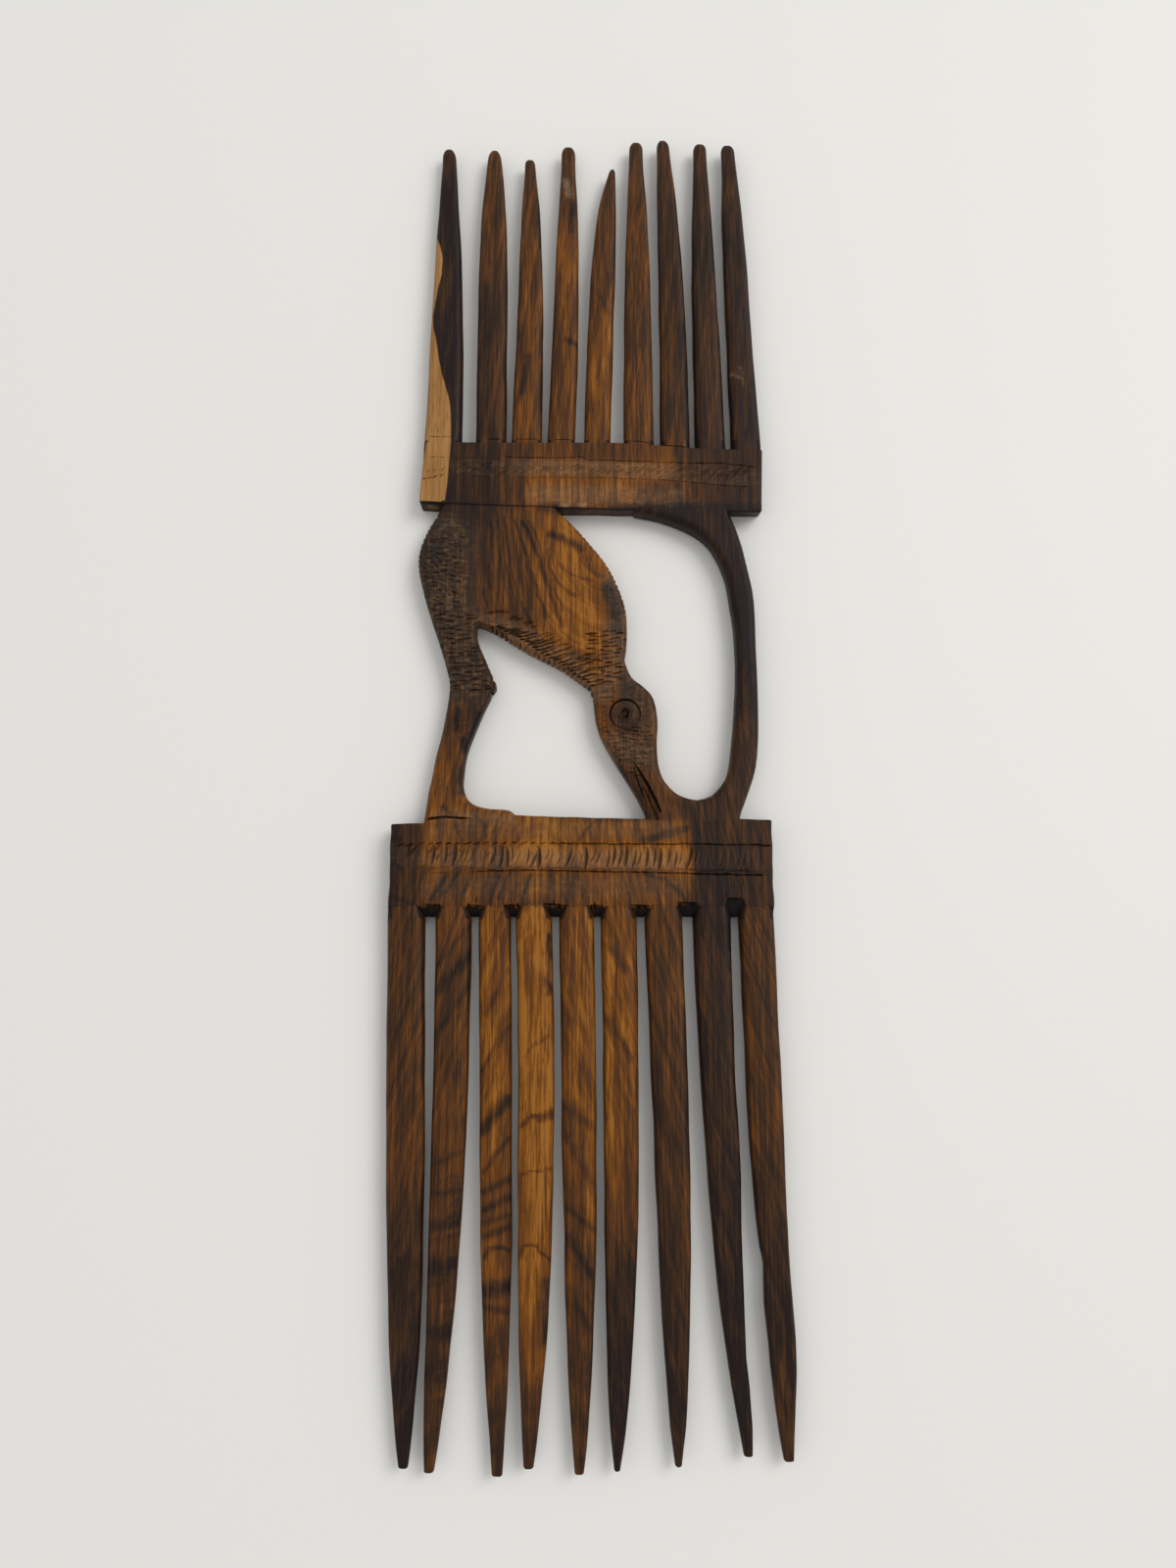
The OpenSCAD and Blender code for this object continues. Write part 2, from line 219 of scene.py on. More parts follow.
def paint_colour(red, green, blue):
    """A colour given in 0 to 255, as a picture holds it, made linear for the renderer."""
    shares = [value / 255 for value in (red, green, blue)]
    linear = [s / 12.92 if s <= 0.04045 else ((s + 0.055) / 1.055) ** 2.4 for s in shares]
    return (*linear, 1.0)


print("Mid grey is", round(paint_colour(188, 188, 188)[0], 2), "in linear light")


# %% [markdown]
# ## The table's paint and the sky
# The lamp and the sky light the comb at a plain level, and the table gets its brightness
# from its own colour. The camera, and the comb's gloss, see a pale sky.

# %% Table paint and sky
table_colour, table_roughness = (237, 236, 232), 0.6
sky_level, seen_sky_level = 0.64, 0.7


def table_paint():
    """Plain matt paint."""
    material = bpy.data.materials.new("table_paint")
    material.use_nodes = True
    shader = material.node_tree.nodes["Principled BSDF"]
    shader.inputs["Base Color"].default_value = paint_colour(*table_colour)
    shader.inputs["Roughness"].default_value = table_roughness
    return material


def sky(strength, seen_strength):
    """An even sky that is pale where the camera or a reflection sees it."""
    world = bpy.data.worlds.new("sky")
    world.use_nodes = True
    world.node_tree.nodes.clear()
    tree = Tree(world.node_tree)
    camera_ray = tree.node("ShaderNodeLightPath", out="Is Camera Ray")
    glossy_ray = tree.node("ShaderNodeLightPath", out="Is Glossy Ray")
    seen = tree.sum("MAXIMUM", camera_ray, glossy_ray)
    level = strength + seen * (seen_strength - strength)
    light = tree.node("ShaderNodeBackground", {}, {"Color": (1, 1, 1, 1), "Strength": level})
    tree.node("ShaderNodeOutputWorld", {}, {"Surface": light}, out=None)
    scene.world = world


floor.data.materials.append(table_paint())
sky(sky_level, seen_sky_level)
print("The table wears", floor.data.materials[0].name, "under", scene.world.name)


# %% [markdown]
# ## One board, one wood
# The comb is one board, so its colour has to run on from piece to piece. All pieces sit at
# the origin and read the same Object coordinates, and each vertex also carries numbers that
# later cells work out: `tone`, from 0 for the near-black heartwood to 1 for the amber;
# `ring`, which is alike along one growth ring; `figure`, how strongly the rings show;
# `vein`, how dark a vein is there, which the fibres break up; `hatched`, where strokes left
# worn flecks and painted highlights on their ridges; `sap`, how far a point lies inside the
# pale sapwood; and `cut`, how deep it lies below the board's face (less than 0 on the tines'
# bevels, which aren't cuts). Deep sides and the bevels get painted shade from `cut`. The
# numbers move a value along one colour ramp, together with noise that is stretched along the grain.
# Cuts are painted darker the deeper they are, as painted shade inside them. Even dull wood
# mirrors a little of the sky, so each colour is written as the eye sees it and that grey
# share is taken off again.

# %% Colours of the wood
sky_share = 0.012
darkest = 0.0015


def seen_colour(red, green, blue):
    """The colour of wood that looks like this under the sky's faint reflection."""
    linear = paint_colour(red, green, blue)[:3]
    return (*[max(value - sky_share, darkest) for value in linear], 1.0)


heart_stops = [
    (0.00, seen_colour(38, 28, 22)), (0.16, seen_colour(54, 40, 31)),
    (0.32, seen_colour(71, 48, 32)), (0.48, seen_colour(91, 57, 32)),
    (0.64, seen_colour(109, 67, 31)), (0.80, seen_colour(128, 79, 30)),
    (1.00, seen_colour(154, 101, 43))]
sap_stops = [
    (0.0, seen_colour(112, 76, 42)), (0.5, seen_colour(158, 115, 68)),
    (1.0, seen_colour(184, 142, 92))]
# The colour of the painted shade inside cuts.
cut_shade_colour = seen_colour(28, 22, 19)
worn_highlight_colour = seen_colour(122, 100, 76)
dust_colour = seen_colour(132, 114, 94)
# The colour of the painted shade on the sides and the tines' bevels.
side_shade_colour = seen_colour(44, 27, 20)
print(len(heart_stops), "colours from near-black heartwood to amber")


# %% The wood
mirror_level = 0.2
fibre_scale, thread_scale = (760, 34, 600), (2400, 95, 1900)
fleck_scale, cloud_scale, pore_scale = (620, 1150, 900), (150, 60, 150), (4300, 300, 3300)
band_weight, fibre_weight, thread_weight, cloud_weight, pore_weight = 1.8, 1.7, 1.8, 0.8, 0.3
bump_strength, bump_mm = 0.35, 0.08
worn_highlight_share, side_shade_share, cut_shade_share = 0.34, 0.62, 0.8
vertex_numbers = ("tone", "ring", "figure", "vein", "hatched", "sap", "cut")


def wood(name, gloss):
    """The board's wood: one pattern for all pieces, with the gloss of one finish."""
    material = bpy.data.materials.new(name)
    material.use_nodes = True
    material.node_tree.nodes.clear()
    tree = Tree(material.node_tree)
    place = tree.node("ShaderNodeTexCoord", out="Object")
    tone, ring, figure, vein, hatched, sap, cut = map(tree.attribute, vertex_numbers)
    fibre = tree.noise(tree.scaled(place, fibre_scale), 5, 0.66)
    thread = tree.noise(tree.scaled(place, thread_scale), 3, 0.6)
    fleck = tree.noise(tree.scaled(place, fleck_scale), 3, 0.6)
    cloud = tree.noise(tree.scaled(place, cloud_scale), 3, 0.55)
    pores = tree.step(tree.noise(tree.scaled(place, pore_scale), 1), 0.12, 0.2)
    ring_place = tree.node("ShaderNodeCombineXYZ", {}, [ring * 0.42 + cloud * 1.4, cloud * 2.4, 0.0])
    band = tree.noise(ring_place, 5, 0.64)
    grain = (band * figure * band_weight + fibre * fibre_weight + thread * thread_weight
             + cloud * cloud_weight - pores * pore_weight)
    lively = tone * 0.5 + 0.42
    value = tree.sum("MAXIMUM", tone + lively * grain, tone * 0.62 - 0.06)
    ragged = tree.step(vein + fibre * 0.5 + thread * 0.4, 0.02, 0.22)
    value = value + hatched * (fleck - 0.02) * 0.9 - vein * (ragged * 0.85 + 0.35)
    heart = tree.node("ShaderNodeValToRGB", {"stops": heart_stops}, {"Fac": value})
    sap_value = 0.5 + fibre * 1.1 + thread * 1.0 - pores * 0.3
    pale = tree.node("ShaderNodeValToRGB", {"stops": sap_stops}, {"Fac": sap_value})
    colour = tree.mix(tree.step(sap + fibre * 0.5, -0.12, 0.12), heart, pale)
    # Flecks in hatched places are painted lighter: real wear and pale specks, with painted highlights on
    # the ridges between strokes.
    flecks = tree.step(fleck + thread * 0.5, 0.02, 0.2) * hatched
    colour = tree.mix(flecks * worn_highlight_share, colour, worn_highlight_colour)
    colour = tree.mix(hatched * (tone * 0.3 + 0.03), colour, dust_colour)
    # Painted shade: deep sides and the tines' bevels, where cut is far from 0, are painted darker.
    colour = tree.mix(tree.step(cut * cut, 0.2, 1.2) * side_shade_share, colour, side_shade_colour)
    # Painted shade: the deeper a point lies in a cut, the darker and a little rougher it is painted.
    cut_shade = tree.step(cut + thread * 0.1, 0.08, 0.3) * (1 - tree.step(cut, 0.7, 1.2))
    colour = tree.mix(cut_shade * cut_shade_share, colour, cut_shade_colour)
    rough = gloss + thread * 0.2 + cut_shade * 0.2
    grain_height = fibre * 0.5 + thread * 0.6 - pores * 0.5
    bump = tree.node("ShaderNodeBump", {}, {"Strength": bump_strength, "Distance": bump_mm * MM,
                                            "Height": grain_height})
    shader = tree.node("ShaderNodeBsdfPrincipled", {},
                       {"Base Color": colour, "Roughness": rough, "Normal": bump,
                        "Specular IOR Level": mirror_level})
    tree.node("ShaderNodeOutputMaterial", {}, {"Surface": shader}, out=None)
    return material


finishes = {
    "dark_heartwood": wood("dark_heartwood", 0.48),
    "brown_heartwood": wood("brown_heartwood", 0.50),
    "amber_heartwood": wood("amber_heartwood", 0.52)}
print("Finishes:", list(finishes))


# %% [markdown]
# ## Placing the colours
# No two hands' widths of this board look alike, so its zones are listed one by one: each zone
# is a tone, a reach in millimetres and a spine of points along it. A point takes the mean
# of all zones, and the nearest count most, so zones melt into each other without an edge.

# %% Zones and lines
zone_core, zone_falloff = 0.35, 4
vein_wander = 0.28


def blend(value, start, end):
    """0 at start, 1 at end and a soft step between, for arrays."""
    share = np.clip((value - start) / (end - start), 0, 1)
    return share * share * (3 - 2 * share)


def distance_to(places, line):
    """Distance from each place to a line of points, in millimetres."""
    nearest = np.full(len(places), np.inf)
    for start, end in zip(line[:-1], line[1:]):
        step = end - start
        share = np.clip((places - start) @ step / (step @ step), 0, 1)
        gap = places - start - share[:, None] * step
        nearest = np.minimum(nearest, np.hypot(gap[:, 0], gap[:, 1]))
    return nearest


def ripple(way, seed, pitch):
    """A slow wave between -1 and 1 that never repeats, as a hand-held knife leaves it."""
    turn = way * 2 * math.pi / pitch
    return (np.sin(turn + seed) + np.sin(0.47 * turn + 2.3 * seed) + np.sin(1.7 * turn - seed)) / 3


def zone_tone(places, zones):
    """The tone at each place, from zones of (tone, reach, spine in pixels)."""
    total, weights = np.zeros(len(places)), np.zeros(len(places))
    for tone, reach, spine in zones:
        weight = (distance_to(places, on_face(spine)) / reach + zone_core) ** -zone_falloff
        total += tone * weight
        weights += weight
    return total / weights


def vein_shade(places, veins):
    """How dark veins of (amount, width, spine in pixels) are; less than 0 is a pale streak."""
    shade = np.zeros(len(places))
    wander = vein_wander * np.stack([ripple(places[:, 1], 1.3, 5.5), ripple(places[:, 0], 2.1, 4.3)], 1)
    for amount, width, spine in veins:
        now = amount * np.exp(-(distance_to(places + wander, on_face(spine)) / width) ** 2)
        shade = np.where(np.abs(now) > np.abs(shade), now, shade)
    return shade


print("Half way along, a soft step is at", blend(0.5, 0, 1))

# %% Worn flecks and painted highlights
hatched_px = [
    (1.0, 7.8, [(460, 545), (456, 590), (462, 640), (474, 690)]),
    (1.0, 4.0, [(492, 636), (530, 650), (580, 680), (612, 704)]),
    (0.9, 3.4, [(628, 640), (625, 690)]), (0.8, 4.8, [(628, 762), (655, 768)]),
    (0.6, 3.6, [(640, 700), (664, 740)]), (0.5, 2.4, [(622, 590), (636, 640)]),
    (0.9, 2.8, [(525, 477), (600, 478), (690, 482)]), (0.5, 2.8, [(466, 477), (600, 478), (768, 487)]),
    (0.8, 3.2, [(545, 504), (600, 505), (690, 507)]), (0.3, 3.0, [(402, 876), (440, 876)]),
    (0.7, 3.0, [(450, 876), (560, 876), (690, 879)]), (0.4, 3.2, [(440, 905), (560, 905), (690, 905)]),
    (0.4, 2.6, [(445, 848), (520, 846), (690, 846)]), (0.7, 2.4, [(452, 833), (480, 836), (520, 838)]),
    (2.4, 1.2, [(577, 180), (581, 195)]), (2.2, 0.8, [(573, 515), (581, 515)]),
    (2.2, 0.7, [(590, 514.6), (598, 514.6)]), (1.8, 0.6, [(745, 380), (757, 384)]),
    (1.6, 0.5, [(756, 374), (759, 391)])]


def hatched_at(places):
    """How strongly the wood shows worn flecks and painted highlights, from (strength, reach, spine in
    pixels).
    """
    worn = np.zeros(len(places))
    for strength, reach, spine in hatched_px:
        share = 1 - blend(distance_to(places, on_face(spine)), 0.25 * reach, reach)
        worn = np.maximum(worn, strength * share)
    return worn


print(len(hatched_px), "worn places")

# %% [markdown]
# ## The run of the growth rings
# A board sawn near the heart shows its rings as nested arches: across the board in the
# middle, and nearly lengthwise at its sides. A hyperbola gives that at once, and its bend
# widens towards the tips of the long tines. Two of these tines have a patch where the rings
# lie straight across. In the bird's body the rings are arcs around a point under the upper
# bar, and in the short tines they are steep lines that lean to the right.

# %% Rings and sapwood
arch_x, arch_steepness, arch_climb, arch_drop = -9.5, 2.6, 0.6, 1.9
arch_bend_places, arch_bends = [-125, -95, -75, -38], [60, 45, 26, 12]
across_patch_px = [(472, 1235), (455, 1420)]
across_patch_reach, across_climb, across_lean = 6.5, 1.3, 0.2
body_arc_centre = on_face([(622, 526)])[0]
body_arc_pitch, body_arc_squash = 3.0, 0.62
short_ring_pitch, short_ring_lean = 1.7, 0.16
bird_border, upper_border = (-2, 8), (46, 49)
calm_x, calm_reach = -10.4, 3.2
tine_calm, bar_calm, bird_calm = 0.6, 0.45, 0.3
sapwood_edge_px = [
    (444, 236), (448, 247), (451, 262), (450, 277), (446, 294), (443, 311), (441, 322),
    (442, 332), (444, 342), (447, 361), (451, 381), (455, 395), (459, 412), (460, 430),
    (460, 451), (458, 473), (456, 496), (453, 516)]
outside_sap = -50.0


def ring_at(places):
    """The growth ring that passes through each place."""
    x, y = places.T
    bend = np.interp(y, arch_bend_places, arch_bends)
    lower = arch_climb * y + arch_steepness * np.hypot(x - arch_x, bend) - arch_drop * bend
    from_patch = distance_to(places, on_face(across_patch_px))
    patch = 1 - blend(from_patch, 0.4 * across_patch_reach, across_patch_reach)
    lower += (across_climb * y - across_lean * x - lower) * patch
    gap = places - body_arc_centre
    arcs = body_arc_pitch * np.hypot(gap[:, 0], body_arc_squash * gap[:, 1])
    ring = lower + (arcs - lower) * blend(y, *bird_border)
    upper = short_ring_pitch * (x - short_ring_lean * y)
    return ring + (upper - ring) * blend(y, *upper_border)


def figure_at(places):
    """How strongly the rings show: less in one amber tine, the bird and the upper bar."""
    x, y = places.T
    tine = np.exp(-((x - calm_x) / calm_reach) ** 2) * blend(-y, 36, 42)
    bar = blend(y, *upper_border) * blend(-y, -63, -60)
    bird_body = blend(y, 12, 18) * blend(-y, -46, -43)
    return 1 - tine_calm * tine - bar_calm * bar - bird_calm * bird_body


def sap_at(places):
    """How far each place lies inside the sapwood, in millimetres."""
    edge_x, edge_y = on_face(sapwood_edge_px)[::-1].T
    x, y = places.T
    inside = np.interp(y, edge_y, edge_x) - x
    return np.where((y > edge_y[-1]) | (y < edge_y[0] - 1.5), outside_sap, inside)


print("Rings at the two ends:", ring_at(np.array([[0.0, -130.0], [0.0, 130.0]])).round(1))


# %% [markdown]
# ## Reading and writing meshes
# Meshes are arrays of points here. These helpers read a mesh in millimetres, write one
# back in metres, keep a cutter out of the scene, draw a smooth curve through values that
# are known at a few places, join rows of points with faces, and store the wood's numbers.

# %% Mesh helpers
def points_of(mesh):
    """The vertices of a mesh as rows of x, y and z in millimetres."""
    flat = np.empty(3 * len(mesh.vertices))
    mesh.vertices.foreach_get("co", flat)
    return flat.reshape(-1, 3) / MM


def move_points(mesh, points):
    """Puts the vertices of a mesh at new places."""
    mesh.vertices.foreach_set("co", (points * MM).ravel())
    mesh.update()


def make_piece(name, points, faces):
    """A new object from points in millimetres."""
    mesh = bpy.data.meshes.new(name)
    mesh.from_pydata((np.asarray(points) * MM).tolist(), [], faces)
    mesh.update()
    piece = bpy.data.objects.new(name, mesh)
    scene.collection.objects.link(piece)
    return piece


def outward_faces(mesh):
    """Turns all faces of a closed mesh outwards."""
    loose = bmesh.new()
    loose.from_mesh(mesh)
    bmesh.ops.remove_doubles(loose, verts=loose.verts, dist=1e-7)
    bmesh.ops.recalc_face_normals(loose, faces=loose.faces)
    loose.to_mesh(mesh)
    loose.free()


def make_tool(name, points, faces):
    """A closed cutter, kept out of the scene, because only the trees use it."""
    tool = make_piece(name, points, faces)
    outward_faces(tool.data)
    scene.collection.objects.unlink(tool)
    return tool


def smooth_curve(at, places, values):
    """Values between known places, on a curve without corners."""
    slopes = np.gradient(values, places)
    i = np.clip(np.searchsorted(places, at) - 1, 0, len(places) - 2)
    span = places[i + 1] - places[i]
    t = np.clip((at - places[i]) / span, 0, 1)
    return ((1 + 2 * t) * (1 - t) ** 2 * values[i] + t * (1 - t) ** 2 * span * slopes[i]
            + t * t * (3 - 2 * t) * values[i + 1] - t * t * (1 - t) * span * slopes[i + 1])


def loft_faces(rows, around, ring=False):
    """Faces between rows of points; in a ring, the last row meets the first."""
    faces = []
    for k in range(rows if ring else rows - 1):
        here, there = k * around, (k + 1) % rows * around
        for i in range(around):
            j = (i + 1) % around
            faces.append((here + i, here + j, there + j, there + i))
    return faces


def end_fans(rows, around):
    """Faces that close both ends of a loft, to the two points that follow its rows."""
    low, last = rows * around, (rows - 1) * around
    return [(low, (i + 1) % around, i) for i in range(around)] + [
        (low + 1, last + i, last + (i + 1) % around) for i in range(around)]


def colour_piece(piece, tone, depth, veins, sap=None):
    """Stores the numbers that the wood reads on a finished piece."""
    places = points_of(piece.data)[:, :2]
    layers = {"tone": tone, "ring": ring_at(places), "figure": figure_at(places),
              "vein": vein_shade(places, veins), "hatched": hatched_at(places),
              "sap": sap_at(places) if sap is None else sap, "cut": depth}
    for name in vertex_numbers:
        layer = piece.data.attributes.new(name, "FLOAT", "POINT")
        layer.data.foreach_set("value", np.ascontiguousarray(layers[name], np.float32))


print("A square tube of two rows has", len(loft_faces(2, 4) + end_fans(2, 4)), "faces")


# %% Geometry Nodes helpers
def new_shape_tree(name, inputs):
    """A Geometry Nodes tree with Geometry first and then the named inputs."""
    group = bpy.data.node_groups.new(name, "GeometryNodeTree")
    group.interface.new_socket("Geometry", in_out="OUTPUT", socket_type="NodeSocketGeometry")
    group.interface.new_socket("Geometry", in_out="INPUT", socket_type="NodeSocketGeometry")
    for label, kind in inputs:
        group.interface.new_socket(label, in_out="INPUT", socket_type="NodeSocket" + kind)
    tree = Tree(group)
    start = group.nodes.new("NodeGroupInput")
    wires = {socket.name: Wire(tree, socket) for socket in start.outputs if socket.name}
    return tree, wires


def end_shape_tree(tree, shape, wood_wire):
    """Ends a tree in real geometry with its material."""
    real = tree.node("GeometryNodeRealizeInstances", {}, [shape])
    done = tree.node("GeometryNodeSetMaterial", {}, {"Geometry": real, "Material": wood_wire})
    tree.node("NodeGroupOutput", {}, [done], out=None)


def cut_away(tree, wires, blades):
    """Ends a tree by taking blades from the wood, which stays closed."""
    cut = tree.node("GeometryNodeMeshBoolean", {"operation": "DIFFERENCE", "solver": "MANIFOLD"},
                    {"Mesh 1": wires["Geometry"], "Mesh 2": blades})
    end_shape_tree(tree, cut, wires["Wood"])


def apply_tree(piece, tree, values):
    """Adds a tree to a piece as a modifier and sets its inputs by their identifiers."""
    modifier = piece.modifiers.new(tree.tree.name, "NODES")
    modifier.node_group = tree.tree
    for item in tree.tree.interface.items_tree:
        if item.in_out == "INPUT" and item.name in values:
            modifier[item.identifier] = values[item.name]


def settle(piece):
    """Replaces a piece's mesh by what its modifiers make of it, and removes them."""
    depsgraph = bpy.context.evaluated_depsgraph_get()
    mesh = bpy.data.meshes.new_from_object(piece.evaluated_get(depsgraph), depsgraph=depsgraph)
    piece.modifiers.clear()
    piece.data = mesh


def finish(piece, nodes, crease=32):
    """Smooth shading with crisp edges, and the place of the piece on the comb."""
    piece.data.shade_smooth()
    piece.data.set_sharp_from_angle(angle=math.radians(crease))
    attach(piece, "root")
    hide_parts(*nodes)
    print(piece.name, len(piece.data.polygons), "faces")


# %% [markdown]
# ## The tines
# Each tine was sawn, then whittled to a flat face with narrow bevels, and polished. Its
# node in the frame already holds the right line, width and thickness in a few rings. So a
# tine is a loft: the rings are read from the node, a smooth curve is drawn through each of
# their sizes, and a bevelled section is set up at every half millimetre. The short tines
# end in a round point and the long ones are cut off blunt. At the root a tine is nearly as
# thick as its bar, and the long ones are cut in there, where the knife cleared the slots.

# %% Sizes read from the frame
def tine_lines(node):
    """Distance from the root, middle, half width and half thickness of a tine's rings."""
    corners = points_of(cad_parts[node].data)
    outward = 1 if corners[:, 1].mean() > 0 else -1
    root = (corners[:, 1] * outward).min()
    heights = np.unique((corners[:, 1] * outward).round(2))
    rings = [corners[np.abs(corners[:, 1] * outward - h) < 0.02] for h in heights]
    middle = np.array([(r[:, 0].min() + r[:, 0].max()) / 2 for r in rings])
    half_w = np.array([np.ptp(r[:, 0]) / 2 for r in rings])
    half_t = np.array([np.ptp(r[:, 2]) / 2 for r in rings])
    return heights - root, middle, half_w, half_t, root * outward, outward


# %% A bevelled section
bevel_mm, bevel_of_width, bevel_of_thickness = 1.0, 0.6, 0.42
edge_parts = [8, 3, 3, 3, 8, 3, 3, 3]


def bevelled_section(half_w, half_t):
    """Points round a bevelled section, one row for each station."""
    bevel = np.minimum(bevel_mm, np.minimum(bevel_of_width * half_w, bevel_of_thickness * half_t))
    w, t, c = half_w[:, None], half_t[:, None], bevel[:, None]
    corners_x = np.hstack([c - w, w - c, w, w, w - c, c - w, -w, -w])
    corners_z = np.hstack([t, t, t - c, c - t, -t, -t, c - t, t - c])
    xs, zs = [], []
    for k, parts in enumerate(edge_parts):
        share = np.arange(parts) / parts
        nxt = (k + 1) % len(edge_parts)
        xs.append(corners_x[:, [k]] * (1 - share) + corners_x[:, [nxt]] * share)
        zs.append(corners_z[:, [k]] * (1 - share) + corners_z[:, [nxt]] * share)
    return [(a + np.roll(a, 1, 1) + np.roll(a, -1, 1)) / 3 for a in (np.hstack(xs), np.hstack(zs))]


# %% Ends of the short tines
point_start, point_curve = 0.8, 2.4
pointed_tips = {1: 0.98, 3: 0.8, 5: 0.42}
leaning_tips = {3: -0.9, 5: 1.0}
tip_spread = (0.22, 0.1, 0.14, 0.28, 0.12, 0.34, 0.2, 0.34, 0.32)
tip_reach = 4.4
upper_end_rounds = (2.5, 2.3, 1.3, 2.1, 1.2, 2.2, 2.4, 2.0, 2.0)
last_root_spread, last_root_reach = 0.25, 10


def short_tine_ends(number, s, length, w, x0):
    """Points, leans and widens a short tine's end, and widens the last one's root."""
    near_tip = np.clip((s / length - point_start) / (1 - point_start), 0, 1) ** point_curve
    pointed = w * (1 - (1 - pointed_tips.get(number, 1)) * near_tip)
    x0 = x0 + leaning_tips.get(number, 0) * (w - pointed)
    w = pointed + tip_spread[number - 1] * np.exp(-((length - s) / tip_reach) ** 2)
    if number == len(tip_spread):
        root_spread = last_root_spread * np.exp(-(s / last_root_reach) ** 2)
        w, x0 = w + root_spread, x0 + root_spread
    return w, x0


# %% Ends of the long tines
lower_end_round = 0.35
blunt_start, blunt_curve = 0.93, 1.6
narrow_tips = {3: 1.12, 6: 0.6, 7: 0.66, 8: 0.86}
slot_flares = (0.6, 0.5, 0.42, 0.7, 0.36, 0.52, 0.46, 0.34)
flare_start, flare_end = -1.5, 0.3
edge_slips = {
    8: [(1100, 0, 0), (1200, 0.1, 0.2), (1290, -0.1, -0.2), (1390, 0, -0.4), (1418, 0, 0),
        (1460, 0.2, 0.35)],
    9: [(1080, 0, 0), (1180, -0.1, -0.3), (1240, 0.2, -0.55), (1275, 0.42, -0.5), (1291, 0.8, -0.45),
        (1306, 0.55, -0.4), (1332, 0.26, -0.14), (1370, 0.3, 0.26), (1400, 0.1, 0.34), (1470, 0, 0.1)]}


def long_tine_ends(number, s, length, root, w, x0):
    """Narrows a long tine's end, widens the slots at its root and lets its edges slip."""
    near_tip = np.clip((s / length - blunt_start) / (1 - blunt_start), 0, 1) ** blunt_curve
    w = w * (1 - (1 - narrow_tips.get(number, 1)) * near_tip)
    flare = np.clip((flare_end - s) / (flare_end - flare_start), 0, 1)
    flares = (0, *slot_flares, 0)
    left, right = flare * flares[number - 1], flare * flares[number]
    w, x0 = w - (left + right) / 2, x0 + (left - right) / 2
    if number in edge_slips:
        rows, left, right = np.array(edge_slips[number]).T
        at = -on_face([(picture_w / 2, row) for row in rows])[:, 1]
        left, right = np.interp(s - root, at, left), np.interp(s - root, at, right)
        w, x0 = w + (right - left) / 2, x0 + (right + left) / 2
    return w, x0


# %% The shape of a tine
root_overlap = 2.5
station_step = 0.5
end_stations, first_end_share = 12, 0.1
end_share = 0.97
root_step = {"upper": 0.14, "lower": 0.07}
root_fade_start, root_fade_end = 0.2, 6.0
wobble_mm, wobble_pitch = 0.045, 24
wobble_start, wobble_full = 2, 12


def tine_shape(side, number, end_round):
    """A tine's points and faces, and where its stations lie, for the colour."""
    known, middle, half_w, half_t, root, outward = tine_lines(f"{side}_tine_{number}")
    length = known[-1]
    end_turn = np.linspace(first_end_share, 1, end_stations) * math.pi / 2
    s = np.concatenate([[-root_overlap, flare_start, 0.5 * flare_start],
                        np.linspace(0, length - end_round, int(length / station_step)),
                        length - end_round * (1 - np.sin(end_turn))])
    x0 = smooth_curve(s, known, middle)
    w = smooth_curve(s, known, half_w)
    t = smooth_curve(s, known, half_t)
    t += (middle_z - root_step[side] - t) * (1 - blend(s, root_fade_start, root_fade_end))
    free = blend(s, wobble_start, wobble_full)
    w += wobble_mm * ripple(s, 1.9 * number, wobble_pitch) * free
    x0 += wobble_mm * ripple(s, 0.7 * number, 1.4 * wobble_pitch) * free
    if side == "upper":
        w, x0 = short_tine_ends(number, s, length, w, x0)
    else:
        w, x0 = long_tine_ends(number, s, length, root, w, x0)
    rise = np.clip((s - length + end_round) / end_round, 0, 1)
    fall = 1 - np.sqrt(np.clip(1 - rise ** 2, 0, 1))
    w_lost = end_share * w if side == "upper" else np.minimum(end_share * w, end_round)
    x, z = bevelled_section(w - w_lost * fall, t - np.minimum(end_share * t, end_round) * fall)
    y = np.repeat((root + outward * s)[:, None], x.shape[1], 1)
    points = np.stack([x + x0[:, None], y, z + middle_z], 2).reshape(-1, 3)
    ends = [[x0[0], y[0, 0], middle_z], [x0[-1], y[-1, 0], middle_z]]
    faces = loft_faces(len(s), x.shape[1]) + end_fans(len(s), x.shape[1])
    if outward > 0:
        faces = [face[::-1] for face in faces]
    return np.vstack([points, ends]), faces, (s, t, root, outward, length)


print("The long tines end", lower_end_round, "mm round, the first short one", upper_end_rounds[0])


# %% [markdown]
# ## Whittling
# A knife leaves long shallow facets. A Geometry Nodes tree adds them to every tine: a cell
# pattern stretched along the grain lowers the middle of each facet a little, and fine
# noise raises the fibres. The same tree serves all eighteen tines, each with its own seed.

